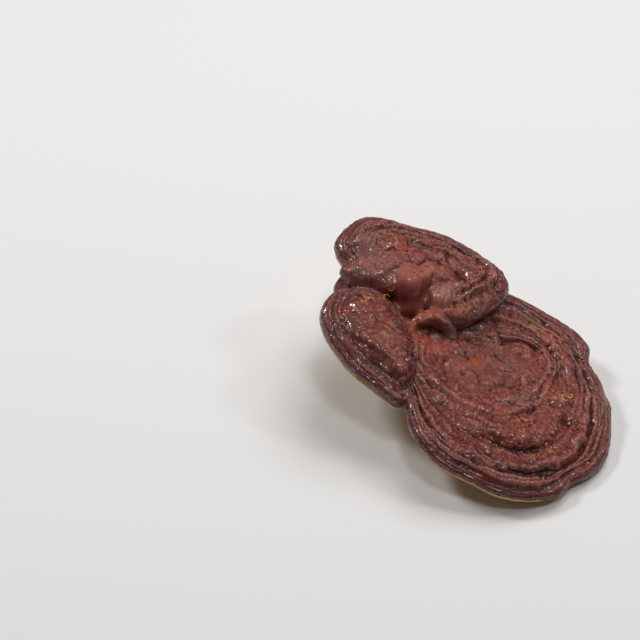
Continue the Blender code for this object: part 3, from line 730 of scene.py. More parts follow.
# %% How each lobe's growth shows
# Depths and widths in millimetres by direction; a pattern starts and ends on the hidden side
GROWTH_LOOKS = {
    "main_lobe": {
        "hidden_side": 150.0,
        "crease_depth": [
            [(0, 0.1), (60, 0.2), (200, 0.0), (240, 0.0), (280, 0.05), (320, 0.1)],
            [(0, 0.2), (60, 0.25), (200, 0.0), (240, 0.0), (280, 0.05), (320, 0.1)],
            [(0, 0.25), (60, 0.3), (200, 0.0), (250, 0.1), (280, 0.1), (315, 0.2)],
            [(0, 0.3), (60, 0.3), (200, 0.1), (235, 0.1), (262, 0.1), (300, 0.1), (325, 0.25)],
            [(0, 0.25), (60, 0.3), (120, 0.3), (200, 0.1), (262, 0.05), (330, 0.2)],
        ],
        "margin_width": [
            (0, 13.0), (60, 14.0), (120, 9.0), (200, 7.0), (235, 6.0), (290, 5.0), (330, 7.5),
        ],
        "margin_depth": [(0, 0.26), (60, 0.32), (150, 0.4), (200, 0.12), (290, 0.08), (330, 0.2)],
        "pleat_depth": [(0, 0.16), (60, 0.1), (200, 0.2), (250, 0.14), (300, 0.16), (325, 0.26)],
        "ripple_depth": [(0, 0.3), (60, 0.3), (130, 0.2), (200, 0.05), (290, 0.06), (330, 0.2)],
        "pucker_depth": [(0, 0.3), (60, 0.26), (200, 0.24), (250, 0.36), (290, 0.32), (330, 0.3)],
        "margin_calm": [(0, 0.3), (60, 0.3), (200, 0.6), (250, 0.85), (300, 0.8), (330, 0.5)],
        "middle_puckers": 0.12,
        "wave_height": 0.3,
    },
    "left_lobe": {
        "hidden_side": 10.0,
        "crease_depth": [[(0, 0.0)], [(0, 0.0)], [(0, 0.1), (90, 0.3), (180, 0.0), (300, 0.0)]],
        "margin_width": [(0, 4.0), (90, 10.0), (150, 9.0), (230, 8.0), (300, 8.0)],
        "margin_depth": [(0, 0.05), (90, 0.25), (150, 0.14), (240, 0.1), (300, 0.1)],
        "pleat_depth": [(0, 0.2), (180, 0.16), (240, 0.14)],
        "ripple_depth": [(0, 0.05), (100, 0.12), (180, 0.05)],
        "pucker_depth": [(0, 0.34), (60, 0.34), (180, 0.32), (240, 0.32), (300, 0.34)],
        "margin_calm": [(0, 0.4), (90, 0.4), (180, 0.6), (240, 0.75), (300, 0.6)],
        "middle_puckers": 0.3,
        "wave_height": 0.1,
    },
    "upper_lobe": {
        "hidden_side": 250.0,
        "crease_depth": [
            [(0, 0.05), (60, 0.1), (120, 0.1), (180, 0.05), (250, 0.0)],
            [(0, 0.15), (60, 0.15), (120, 0.1), (180, 0.1), (250, 0.0)],
            [(0, 0.2), (60, 0.2), (120, 0.2), (180, 0.2), (250, 0.05)],
        ],
        "margin_width": [(0, 9.0), (60, 13.0), (120, 13.0), (180, 8.0), (250, 4.0), (310, 5.0)],
        "margin_depth": [(0, 0.26), (60, 0.36), (120, 0.36), (180, 0.3), (250, 0.05), (310, 0.1)],
        "pleat_depth": [(0, 0.24), (60, 0.12), (180, 0.12), (250, 0.16), (310, 0.24)],
        "ripple_depth": [(0, 0.26), (60, 0.26), (180, 0.14), (250, 0.05), (310, 0.12)],
        "pucker_depth": [(0, 0.36), (60, 0.3), (180, 0.24), (250, 0.22), (310, 0.24)],
        "margin_calm": [(0, 0.3), (180, 0.4), (310, 0.5)],
        "middle_puckers": 0.26,
        "wave_height": 0.12,
    },
}
CREASE_WIDTH = 0.5
MARGIN_STEP = 1.45
# How long each wrinkle is along the ring, and how wide across it
PLEAT_SIZE = (1.5, 4.2)
RIPPLE_SIZE = (5.0, 1.3)
PUCKER_SIZE = (2.8, 2.1)
SMALL_PUCKER_SIZE = (1.3, 1.1)
print("creases per lobe:", [len(look["crease_depth"]) for look in GROWTH_LOOKS.values()])

# %% Carving one lobe's growth


def noise_in(u, v, layer):
    """Soft random values over two coordinates; each layer looks different."""
    return np.array([noise.noise((a, b, layer)) for a, b in zip(u.tolist(), v.tolist())])


def puffed(soft_noise):
    """Soft noise folded up where it is below zero: round puffs with sharp valleys between."""
    return np.minimum(2.6 * np.abs(soft_noise), 1.1) - 0.5


def puffs(u, v, size, layer):
    """Round puffs of one length and width, laid out by growth."""
    return puffed(noise_in(u / size[0], v / size[1], layer))


def ridges(u, v, size, layer):
    """Sharp ridges with round valleys between them."""
    return -puffs(u, v, size, layer)


def at_column(lobe, grid, column, degrees):
    """Reads one column of a lobe's grid in each direction."""
    return np.interp(degrees, lobe.degrees, grid[:, column], period=360.0)


def along_ring(lobe, column, degrees, hidden_side):
    """Distance walked along a growth line, from the hidden side round to each direction."""
    line = lobe.points[:, column, :2]
    steps = np.linalg.norm(np.roll(line, -1, axis=0) - line, axis=1)
    first = int(hidden_side / 360.0 * len(steps))
    walked = np.concatenate([[0.0], np.cumsum(np.roll(steps, -first))])
    turned = (degrees - lobe.degrees[first]) % 360.0
    return np.interp(turned, np.linspace(0.0, 360.0, len(walked)), walked)


def growth_creases(lobe, look, at, layer):
    """The creases of one lobe, which wander a little and fade in places."""
    degrees = at["degrees"]
    relief = np.zeros_like(degrees)
    for i, depth in enumerate(look["crease_depth"]):
        column = ZONE_BANDS * (i + 1)
        ring = along_ring(lobe, column, degrees, look["hidden_side"])
        wander = noise_in(ring / 9.0, np.zeros_like(ring), layer + i) * 1.6
        wander += noise_in(ring / 2.2, np.zeros_like(ring), layer + i + 40.0) * 0.7
        gap = at["walked"] - at_column(lobe, lobe.walked, column, degrees) + wander
        strength = 0.75 + 0.9 * noise_in(ring / 11.0, gap / 30.0, layer + i + 60.0)
        strength = np.clip(strength, 0.1, 1.3)
        relief -= around(depth, degrees) * strength * np.exp(-np.abs(gap) / CREASE_WIDTH)
    return relief


def margin_stripes(look, degrees, ring, from_rim, layer):
    """How far each point belongs to the margin, and the relief of its thin steps."""
    width = around(look["margin_width"], degrees)
    margin = step((width - from_rim) / 2.0) * step((from_rim + 3.5) / 1.5)
    phase = from_rim / MARGIN_STEP + 0.9 * noise_in(ring / 12.0, from_rim / 5.0, layer + 80.0)
    stripes = np.abs(np.sin(np.pi * phase)) ** 0.7 - 0.6
    broken = 0.7 + 1.4 * noise_in(ring / 5.0, from_rim / MARGIN_STEP, layer + 85.0)
    broken = np.clip(broken, 0.0, 1.4)
    return margin, margin * around(look["margin_depth"], degrees) * stripes * broken


def wrinkles(look, degrees, ring, walked, young, layer):
    """Pleats across the growth, ripples along it and puckers, stronger in places and when young."""
    here = np.clip(0.8 + 1.3 * noise_in(ring / 8.0, walked / 6.0, layer + 100.0), 0.1, 1.5)
    u = ring + 1.3 * noise_in(ring / 4.0, walked / 4.0, layer + 88.0)
    v = walked + 1.3 * noise_in(ring / 4.0, walked / 4.0, layer + 89.0)
    pleats = ridges(u, v, PLEAT_SIZE, layer + 90.0) * around(look["pleat_depth"], degrees)
    ripples = ridges(u, v, RIPPLE_SIZE, layer + 105.0) * around(look["ripple_depth"], degrees)
    puckers = 0.42 * puffs(u, v, PUCKER_SIZE, layer + 110.0)
    puckers += 0.2 * puffs(u, v, SMALL_PUCKER_SIZE, layer + 115.0)
    puckers *= around(look["pucker_depth"], degrees)
    return here * young * (pleats + ripples + puckers)


def carve(lobe, look, at, layer):
    """One lobe's relief at each point, and where in the growth each point lies."""
    degrees, walked = at["degrees"], at["walked"]
    lines = [ZONE_BANDS * (i + 1) for i in range(len(look["crease_depth"]))]
    middles = [line - ZONE_BANDS // 2 for line in lines] + [lobe.rim_band]
    rings = [along_ring(lobe, middle, degrees, look["hidden_side"]) for middle in middles]
    ring = np.choose(np.searchsorted(lines, at["column"]), rings)
    from_rim = at_column(lobe, lobe.walked, lobe.rim_band, degrees) - walked
    zones = at["column"] / ZONE_BANDS
    young = step(zones - 0.6) * 0.85 + 0.15
    margin, stripes = margin_stripes(look, degrees, ring, from_rim, layer)
    calm = 1.0 - around(look["margin_calm"], degrees) * margin
    relief = growth_creases(lobe, look, at, layer) + stripes
    relief += wrinkles(look, degrees, ring, walked, young, layer) * calm
    found = {"relief": relief, "ring": ring, "from_rim": from_rim}
    return {**found, "margin": margin, "young": young, "zones": zones}


carved = {
    lobe.name: carve(lobe, GROWTH_LOOKS[lobe.name], growth[lobe.name], 200.0 * i)
    for i, lobe in enumerate(lobes)
}
for name, found in carved.items():
    low, high = np.percentile(found["relief"], (1, 99))
    print(name, "relief from", round(float(low), 2), "to", round(float(high), 2), "mm")

# %% [markdown]
# The larger creases and cracks belong to this one mushroom, so each is a line of points on the plan
# of the cap, with its depth and width. Beside them come a few pebbles and dents. Drying also broke
# the old crust in the middle into round plates, which soft noise folded up into puffs gives.

# %% Creases and cracks of this one mushroom
CREASES = {
    "left_lobe": [
        (1.2, 0.55, [
            (-44.0, 21.0), (-46.2, 17.0), (-46.8, 12.7), (-46.2, 8.0), (-44.3, 4.0), (-42.1, 0.7),
            (-40.0, -2.0), (-37.5, -4.8), (-34.6, -7.8), (-31.6, -10.2), (-28.6, -13.0),
            (-25.6, -15.3), (-22.8, -16.8), (-20.1, -17.9),
        ]),
        (1.0, 0.5, [
            (-46.6, 20.0), (-48.4, 14.5), (-48.6, 8.0), (-47.3, 2.8), (-45.6, -0.7), (-43.4, -3.2),
            (-40.9, -6.5), (-37.6, -10.0), (-34.0, -13.1), (-30.1, -16.0), (-26.1, -18.7),
            (-22.0, -20.3), (-18.4, -21.4),
        ]),
        (0.6, 0.4, [
            (-45.4, 22.2), (-47.6, 19.4), (-49.1, 15.6), (-50.2, 10.6), (-49.2, 5.8), (-47.9, 2.3),
            (-46.1, -1.5), (-43.6, -4.6), (-40.7, -8.3), (-37.7, -11.3), (-34.5, -14.3),
            (-30.9, -16.5), (-26.5, -19.6), (-21.5, -22.0),
        ]),
        (0.4, 0.35, [(-29.8, 12.5), (-26.7, 11.4), (-24.0, 10.4), (-21.3, 8.6)]),
        (0.4, 0.4, [(-31.4, 8.1), (-28.5, 7.0), (-25.6, 5.2), (-23.5, 3.4)]),
        (0.4, 0.35, [(-25.2, 4.3), (-21.4, 6.5), (-17.2, 9.5), (-14.5, 10.0)]),
        (0.4, 0.35, [(-28.1, 17.1), (-25.1, 16.2), (-22.5, 14.7), (-19.6, 13.7)]),
        (0.3, 0.35, [(-41.2, 12.2), (-40.1, 8.9), (-37.9, 7.1)]),
        (0.35, 0.4, [(-43.3, 18.3), (-42.3, 20.3), (-40.6, 24.2), (-38.2, 25.8)]),
        (0.35, 0.35, [(-22.8, -6.7), (-21.5, -8.1), (-19.5, -9.7)]),
        (0.35, 0.4, [(-33.5, 10.9), (-31.8, 9.0), (-29.3, 6.1), (-26.8, 2.9), (-25.2, -0.2)]),
        (0.35, 0.35, [(-19.5, 4.5), (-16.6, 4.1), (-14.3, 1.4)]),
    ],
    "upper_lobe": [
        (0.6, 0.4, [
            (-34.1, 51.0), (-31.5, 51.9), (-29.1, 51.8), (-26.6, 52.0), (-23.7, 51.5),
            (-19.6, 51.0), (-15.4, 50.7), (-11.2, 50.5), (-7.3, 49.2), (-4.2, 48.2), (-1.0, 46.6),
            (2.5, 45.2), (5.3, 43.5), (8.7, 42.0),
        ]),
        (0.6, 0.4, [
            (-23.4, 54.8), (-19.2, 55.0), (-15.0, 54.3), (-11.0, 53.1), (-6.9, 52.1), (-3.9, 51.0),
            (-0.5, 49.7), (2.9, 48.2), (5.7, 46.6), (8.7, 45.0), (12.2, 42.2), (15.2, 39.6),
            (18.5, 36.5),
        ]),
        (0.45, 0.4, [
            (-11.1, 48.7), (-7.1, 47.6), (-2.8, 46.4), (0.4, 44.6), (3.6, 42.5), (6.9, 40.9),
            (10.2, 39.1), (13.5, 36.7), (16.5, 34.0),
        ]),
        (0.45, 0.4, [
            (-29.6, 54.2), (-32.5, 53.6), (-35.9, 52.0), (-38.7, 49.9), (-41.3, 47.3),
            (-42.9, 43.8),
        ]),
        (0.6, 0.4, [(-45.9, 41.9), (-44.5, 39.3), (-43.1, 36.9), (-42.3, 34.0)]),
        (0.6, 0.4, [(-44.7, 43.3), (-43.2, 40.4), (-41.9, 37.9), (-41.4, 35.6)]),
        (0.45, 0.4, [(-42.7, 41.5), (-41.6, 39.4), (-40.9, 36.5)]),
        (0.6, 0.45, [(-20.1, 46.3), (-17.2, 45.9), (-13.0, 45.9), (-10.0, 45.3)]),
        (1.1, 0.6, [
            (-11.2, 40.0), (-8.4, 40.2), (-5.6, 39.1), (-2.7, 38.2), (-0.2, 36.7), (1.5, 35.0),
            (3.2, 32.5), (5.4, 31.0), (6.7, 28.9), (6.5, 27.1),
        ]),
        (0.7, 0.4, [
            (-29.3, 39.4), (-27.6, 41.4), (-26.0, 42.6), (-24.6, 41.0), (-23.1, 40.5),
            (-21.0, 41.4),
        ]),
        (0.5, 0.4, [(-22.5, 50.8), (-21.5, 49.3), (-20.2, 47.2), (-20.7, 41.9)]),
        (0.7, 0.4, [
            (-21.0, 41.4), (-20.2, 38.0), (-18.6, 36.1), (-15.9, 35.4), (-13.8, 37.4),
            (-12.6, 40.2),
        ]),
        (0.6, 0.45, [(-4.3, 45.8), (-3.6, 44.6), (-3.8, 41.6)]),
        (0.4, 0.35, [(-32.2, 36.4), (-30.4, 37.5), (-28.6, 38.9)]),
        (0.4, 0.5, [(-36.3, 31.0), (-34.7, 30.8), (-32.3, 30.7)]),
        (0.4, 0.5, [(-40.5, 33.6), (-40.0, 30.2), (-39.6, 27.7), (-38.2, 26.2)]),
        (0.6, 0.6, [(2.4, 28.7), (4.2, 25.8), (4.9, 22.7), (4.1, 18.8)]),
        (0.8, 0.7, [(6.3, 27.1), (6.4, 24.7), (7.1, 21.7), (8.2, 19.6)]),
        (0.6, 0.6, [(9.9, 30.9), (10.1, 28.5), (11.0, 25.9), (11.7, 23.3)]),
        (0.6, 0.6, [(12.2, 31.5), (13.4, 28.7), (14.3, 26.1)]),
        (0.5, 0.6, [(8.2, 27.0), (9.3, 24.5), (9.6, 21.4)]),
    ],
    "main_lobe": [
        (1.2, 0.5, [
            (-15.5, -16.1), (-14.2, -19.4), (-12.7, -23.0), (-11.1, -26.0), (-9.7, -29.5),
            (-7.9, -32.5), (-5.4, -35.1), (-3.1, -37.8),
        ]),
        (0.75, 0.4, [
            (-14.8, -27.7), (-13.3, -33.1), (-11.3, -37.1), (-9.1, -41.1), (-6.6, -44.0),
            (-3.4, -46.5), (-0.1, -48.8), (3.9, -50.3), (7.9, -52.0), (11.7, -53.7), (15.6, -55.2),
            (19.4, -56.0), (24.0, -56.6), (29.1, -56.5), (35.1, -55.3), (40.0, -53.1),
        ]),
        (0.7, 0.4, [
            (-8.0, -41.6), (-4.1, -45.1), (-0.3, -47.4), (3.8, -48.8), (7.7, -50.9), (11.5, -52.6),
            (15.4, -54.0), (19.2, -54.9), (23.8, -55.2), (28.9, -55.1), (34.9, -54.1),
            (39.9, -51.7),
        ]),
        (0.7, 0.4, [
            (-14.0, -23.5), (-13.1, -28.0), (-11.5, -31.8), (-9.9, -35.5), (-7.6, -38.8),
            (-4.9, -42.0), (-1.9, -44.6), (1.6, -46.7), (5.2, -48.3), (8.7, -49.9),
        ]),
        (0.3, 0.6, [
            (1.6, -3.0), (4.8, -3.5), (7.9, -4.0), (10.8, -5.3), (13.5, -6.8), (16.5, -8.8),
            (19.4, -8.7), (23.2, -7.2), (26.6, -5.1), (29.4, -3.2),
        ]),
        (0.65, 0.5, [
            (4.9, -12.1), (6.9, -13.6), (9.1, -15.8), (11.6, -14.8), (13.7, -17.0), (16.0, -17.8),
            (19.2, -15.5), (22.6, -14.8), (25.9, -15.1), (28.3, -16.2),
        ]),
        (0.5, 0.8, [(32.4, -17.9), (34.7, -15.1), (36.4, -11.5), (37.3, -7.3), (38.3, -2.0)]),
        (0.5, 0.7, [
            (0.7, -22.0), (3.8, -23.6), (6.8, -26.3), (9.8, -27.3), (12.0, -28.2), (14.2, -29.9),
            (17.2, -31.1), (20.7, -31.0),
        ]),
        (0.4, 0.8, [(27.0, -28.7), (31.7, -24.7), (35.0, -21.2)]),
        (1.05, 0.5, [
            (11.5, -34.8), (14.8, -35.7), (17.4, -36.8), (20.3, -37.6), (23.0, -38.1),
            (26.7, -38.1), (29.5, -37.6), (32.3, -36.4), (35.0, -35.1), (37.7, -32.6),
            (38.8, -31.2),
        ]),
        (1.0, 0.6, [
            (22.1, -47.7), (24.9, -47.9), (27.8, -47.9), (31.0, -47.7), (34.9, -46.7),
            (38.9, -45.1), (42.4, -43.2), (46.0, -40.4),
        ]),
        (0.4, 0.5, [(9.6, -41.2), (12.4, -43.8), (15.5, -45.6), (18.7, -46.5), (21.6, -47.6)]),
        (0.6, 0.35, [(17.6, 7.9), (19.3, 8.6), (21.4, 8.9)]),
        (0.5, 0.35, [(17.5, 2.6), (20.4, 2.2), (22.8, 1.7), (26.1, 2.0)]),
        (0.7, 0.45, [
            (22.4, 15.3), (24.6, 17.2), (27.5, 17.9), (30.2, 18.5), (32.8, 17.7), (35.0, 16.5),
            (37.6, 15.9), (40.4, 16.7), (42.2, 17.8),
        ]),
        (0.7, 0.5, [
            (36.7, 13.3), (37.6, 10.5), (37.5, 7.0), (39.3, 6.0), (40.6, 3.6), (41.5, 0.3),
        ]),
        (0.5, 0.35, [(27.5, 10.7), (30.5, 11.8)]),
        (0.7, 0.6, [(3.5, 10.7), (6.2, 7.9), (8.6, 4.7)]),
        (0.6, 0.5, [(22.9, 15.6), (21.2, 13.2), (19.8, 13.2), (18.4, 15.7), (16.5, 16.8)]),
        (0.4, 0.4, [(29.8, 4.1), (29.3, 0.9), (30.3, -2.6), (29.3, -4.8)]),
        (0.6, 0.4, [(8.1, 13.2), (10.1, 12.6), (12.5, 12.5)]),
        (0.5, 0.5, [(43.1, 14.8), (45.5, 15.4), (47.8, 16.7)]),
        (0.4, 0.4, [(9.0, 19.4), (11.5, 19.5), (13.6, 19.0)]),
        (0.4, 0.4, [(42.2, 17.0), (40.5, 13.8), (42.8, 10.1)]),
        (0.5, 0.5, [(47.6, 0.8), (50.2, 1.2), (53.2, 1.3)]),
        (0.5, 1.0, [(44.5, -12.4), (46.7, -14.4), (49.6, -15.6)]),
        (0.5, 0.9, [(49.6, -24.4), (51.8, -22.8), (54.4, -23.7)]),
        (0.4, 1.0, [(51.0, 22.0), (52.4, 20.4), (54.0, 18.3)]),
        (0.45, 0.4, [
            (28.1, 37.8), (32.4, 35.9), (36.7, 33.8), (40.8, 31.2), (45.0, 29.2), (48.1, 26.3),
            (50.9, 22.7),
        ]),
        (0.45, 0.4, [
            (34.6, 33.0), (38.0, 30.9), (41.2, 28.3), (44.7, 26.4), (47.5, 23.5), (48.9, 18.6),
            (51.9, 16.9), (54.9, 14.1), (58.4, 12.4),
        ]),
        (0.45, 0.4, [
            (41.6, 23.7), (45.3, 21.8), (47.3, 17.6), (50.1, 15.0), (53.1, 11.6), (56.1, 8.1),
            (58.0, 3.3), (59.6, -2.1),
        ]),
        (0.45, 0.4, [
            (44.6, 15.2), (46.9, 11.6), (49.7, 7.7), (53.2, 6.1), (54.9, 1.1), (55.8, -4.9),
            (57.0, -10.0), (58.0, -14.6),
        ]),
        (0.45, 0.4, [(60.9, 4.0), (61.5, -2.2), (61.5, -8.8), (61.7, -14.4), (60.9, -20.1)]),
        (0.4, 0.4, [(54.1, -10.2), (54.9, -14.2), (56.6, -16.4), (58.7, -19.3), (59.8, -24.3)]),
    ],
}
KNOB_CREASES = [
    (0.7, 0.4, [(-17.7, 30.5), (-15.4, 29.8), (-13.9, 28.7), (-13.3, 26.9), (-12.4, 25.0)]),
    (0.6, 0.4, [
        (-13.8, 35.8), (-11.8, 35.0), (-10.1, 33.9), (-9.3, 31.6), (-9.4, 29.5), (-10.2, 28.4),
        (-11.8, 27.6),
    ]),
    (0.3, 0.8, [(-28.8, 28.7), (-26.9, 30.7), (-24.9, 32.0), (-22.5, 32.9), (-19.8, 33.6)]),
    (0.5, 0.6, [(-8.2, 33.6), (-9.4, 30.8), (-9.7, 29.1)]),
    (0.45, 0.5, [(-5.5, 30.2), (-7.1, 26.4), (-7.6, 23.6), (-7.2, 21.3)]),
    (0.45, 0.5, [(-3.6, 28.7), (-4.0, 24.7), (-4.8, 22.0), (-5.1, 20.4)]),
    (0.45, 0.5, [(-1.1, 27.8), (-0.9, 24.9), (-1.8, 22.2), (-2.1, 19.7)]),
    (0.4, 0.5, [(-9.8, 26.0), (-9.5, 23.6), (-8.8, 21.6)]),
    (0.5, 0.5, [(1.1, 27.2), (1.5, 23.4), (1.1, 20.4), (0.5, 17.2)]),
    (0.4, 0.5, [(-33.5, 26.6), (-31.3, 27.2), (-28.9, 27.4), (-25.3, 27.0)]),
]
LUMPS = {
    "upper_lobe": [((-15.6, 40.4), (3.6, 3.0), 0.0, 0.7), ((-24.0, 39.0), (5.0, 3.4), 20.0, 0.5)],
    "main_lobe": [
        ((46.5, -19.0), (4.0, 3.2), 30.0, 0.5), ((-5.6, 8.6), (1.7, 1.3), 0.0, 0.7),
        ((52.0, -28.0), (3.4, 3.0), 20.0, 1.0), ((19.0, 16.0), (6.0, 3.0), -60.0, 0.5),
        ((8.0, -0.6), (7.0, 2.2), 20.0, 0.5), ((45.0, -8.0), (3.0, 3.6), 0.0, 0.7),
    ],
}
drawn = {name: len(lines) for name, lines in CREASES.items()}
print("creases drawn:", {**drawn, "knobs": len(KNOB_CREASES)})

# %% [markdown]
# All of it adds up to one height for each point: the growth lines, puckers and cracks of each lobe
# by its share there, then the round plates of the middle and the lumps of the knobs. The pores
# below have only a few soft lumps. Each point then moves that far straight out of the skin.

# %% The whole relief
CRACK_SHARE, SHOULDER_SHARE, SHOULDER_WIDTH = 0.85, 0.35, 2.0
WAVES_IN_A_ZONE = 1.7
TONGUE_PUCKERS = 0.36
PLATE_DEPTH = 0.85
# Height and width of each kind of uneven ground
WAVE_WOBBLE = (0.35, 11.0)
LARGE_PLATES, SMALL_PLATES, PLATE_SWELLS = (0.8, 9.5), (0.25, 4.0), (0.9, 6.5)
ROUND_PUFFS, FINE_PUFFS = (0.25, 2.3), (0.15, 1.2)
FOLD_LUMPS, LARGE_LUMPS, SMALL_LUMPS, PORE_LUMPS = (0.5, 2.6), (0.34, 4.6), (0.12, 1.8), (0.12, 3.0)


def crease_relief(creases, x, y):
    """Grooves along the lines: a sharp crack down the middle of a soft round shoulder."""
    shift_x = 0.45 * noise_in(x / 1.8, y / 1.8, 3.0)
    shift_y = 0.45 * noise_in(x / 1.8, y / 1.8, 5.0)
    strength = np.clip(0.9 + 0.9 * noise_in(x / 6.0, y / 6.0, 7.0), 0.3, 1.3)
    relief = np.zeros_like(x)
    for depth, width, line in creases:
        gap = distance_to(x + shift_x, y + shift_y, line)
        shoulder = SHOULDER_SHARE * np.exp(-((gap / SHOULDER_WIDTH) ** 2))
        relief -= depth * (CRACK_SHARE * np.exp(-gap / width) + shoulder)
    return relief * strength


def plated(points, height, size, layer):
    """Round plates of one height and one width, with sharp valleys between them."""
    return height * puffed(noise_at(points, size, layer))


x, y = points[:, 0], points[:, 1]
relief = (share_of[KNOB] + share_of[TONGUE]) * crease_relief(KNOB_CREASES, x, y)
relief += share_of[TONGUE] * crease_relief(CREASES["upper_lobe"], x, y)
ringless = TONGUE_PUCKERS * share_of[TONGUE]
plate_depth = PLATE_DEPTH * share_of[TONGUE]
wobble = lumpy(points, *WAVE_WOBBLE, 12.0)
for share, lobe in zip(share_of, lobes):
    here, look = carved[lobe.name], GROWTH_LOOKS[lobe.name]
    own = here["relief"] + crease_relief(CREASES[lobe.name], x, y)
    waves = np.sin(2.0 * np.pi * (WAVES_IN_A_ZONE * here["zones"] + wobble))
    wave_height = look["wave_height"] * step((here["zones"] - 0.8) / 0.8)
    own += wave_height * (1.0 - here["margin"]) * waves
    relief += share * (own + bumps_at(x, y, LUMPS.get(lobe.name, [])))
    ringless += share * (1.0 - here["young"]) * look["middle_puckers"]
    plate_depth += PLATE_DEPTH * share * (1.0 - 0.8 * step((12.0 - here["from_rim"]) / 8.0))
plates = plated(points, *LARGE_PLATES, 8.0) + plated(points, *SMALL_PLATES, 9.0)
relief += plate_depth * (plates + lumpy(points, *PLATE_SWELLS, 10.0))
relief += ringless * (plated(points, *ROUND_PUFFS, 6.0) + plated(points, *FINE_PUFFS, 7.0))
relief += share_of[FOLD] * lumpy(points, *FOLD_LUMPS, 5.0)
lumps = lumpy(points, *LARGE_LUMPS, 2.0) + lumpy(points, *SMALL_LUMPS, 3.0)
relief += lumps * (1.0 - share_of[KNOB] * 0.6)
outward = normals_of(points, faces)
on_crust = step((outward[:, 2] + 0.75) / 0.35)
relief = relief * on_crust + lumpy(points, *PORE_LUMPS, 4.0) * (1.0 - on_crust)
points += outward * relief[:, None]
print("relief:", relief.min().round(2), "to", relief.max().round(2), "mm")

# %% [markdown]
# ## What the finish needs to know
#
# The finish paints shade into the hollows, and dust, wear and a painted sheen onto level ridges,
# so it needs to know how hollow each point lies. Comparing a point with the mean of what surrounds
# it tells that, close by for the creases and further off for the broad dips. Patches of another
# colour are places on the plan, some of them painted light, and the pale pores start where the rim
# has turned under.

# %% Masks for the finish
PATCHES = {
    "warm": [
        ((8.6, 0.2), (8.0, 2.6), 20.0), ((-12.5, 17.0), (5.5, 3.4), 20.0),
        ((-4.0, 18.6), (4.0, 3.0), 0.0), ((6.0, 16.5), (5.0, 1.6), -40.0),
        ((41.0, 17.5), (7.0, 5.0), 20.0), ((-25.0, 44.0), (5.0, 3.0), 20.0),
        ((42.0, -8.0), (3.4, 6.0), 0.0), ((22.0, -20.5), (3.0, 2.0), 0.0),
        ((38.0, 26.0), (6.0, 3.0), -40.0), ((11.5, 2.8), (3.4, 1.2), 15.0),
        ((-14.4, 14.6), (2.8, 2.4), 40.0),
    ],
    # Painted light: the pale patches lighten places that lie in shade
    "pale": [((-33.0, 32.5), (9.0, 5.5), 0.0), ((12.0, 27.5), (4.0, 3.0), 0.0)],
    "wine": [
        ((-6.0, -24.0), (5.0, 10.0), 25.0), ((10.0, -41.5), (9.0, 4.5), -30.0),
        ((30.0, -46.0), (14.0, 4.0), 5.0),
    ],
    # Partly painted sheen: a pinkish red on smooth bumps
    "rosy": [
        ((-8.5, 3.0), (7.0, 5.5), -20.0), ((-3.0, 5.5), (4.0, 3.0), 0.0),
        ((-19.0, 30.0), (6.0, 7.0), 0.0),
    ],
    "slate": [((-0.8, 13.6), (2.8, 3.0), 0.0), ((-22.5, 9.0), (1.6, 2.6), -20.0)],
    "grey_green": [
        ((10.5, 19.5), (5.5, 4.5), 0.0), ((64.0, -6.0), (3.0, 9.0), 0.0),
        ((30.0, -12.0), (8.0, 2.6), 20.0), ((36.0, 27.0), (5.0, 3.0), -40.0),
        ((-43.0, 27.5), (4.5, 5.0), 0.0), ((1.2, 13.0), (1.6, 2.6), 0.0),
        ((-4.0, 27.5), (6.0, 4.0), 0.0), ((19.0, 14.5), (3.0, 2.0), 0.0),
        ((-37.0, 46.0), (5.0, 8.0), 0.0), ((24.0, 4.0), (7.0, 3.0), 20.0),
    ],
    "tan": [
        ((-27.1, 1.2), (3.2, 1.8), 30.0), ((-26.2, -12.9), (1.6, 1.2), 0.0),
        ((-6.0, 12.6), (3.0, 1.0), 0.0), ((64.5, -3.0), (1.4, 5.0), 0.0),
        ((36.5, 26.5), (4.0, 1.0), -35.0),
    ],
    "red": [
        ((50.5, -28.5), (6.5, 8.0), 20.0), ((47.0, -21.0), (4.0, 3.4), 0.0),
        ((12.0, 27.0), (9.0, 7.0), -30.0), ((-20.0, 24.0), (5.0, 6.0), 0.0),
        ((2.0, -33.0), (8.0, 4.0), -50.0), ((54.0, -36.0), (5.0, 5.0), 0.0),
        ((4.2, 12.4), (2.6, 2.2), -40.0), ((25.0, -34.0), (14.0, 2.2), 5.0),
    ],
}
# How many bands below the rim the pores start, by direction
UNDER_FROM = [(0, 3.2), (60, 2.6), (180, 1.9), (225, 1.6), (285, 1.7), (310, 2.8), (335, 3.4)]


def patch_mask(patches):
    """How much each point belongs to the patches, whose edges are ragged."""
    x, y = points[:, 0], points[:, 1]
    ragged_x = x + 2.0 * noise_in(x / 4.0, y / 4.0, 8.0)
    ragged_y = y + 2.0 * noise_in(x / 4.0, y / 4.0, 9.0)
    return np.clip(bumps_at(ragged_x, ragged_y, [(*patch, 1.0) for patch in patches]), 0.0, 1.0)


def hollow(rounds):
    """How far each point lies below its surroundings, in millimetres, and the smooth points."""
    smooth = points.copy()
    for _ in range(rounds):
        smooth += 0.6 * (neighbour_mean(smooth, faces) - smooth)
    return np.einsum("ij,ij->i", smooth - points, normals_of(smooth, faces)), smooth


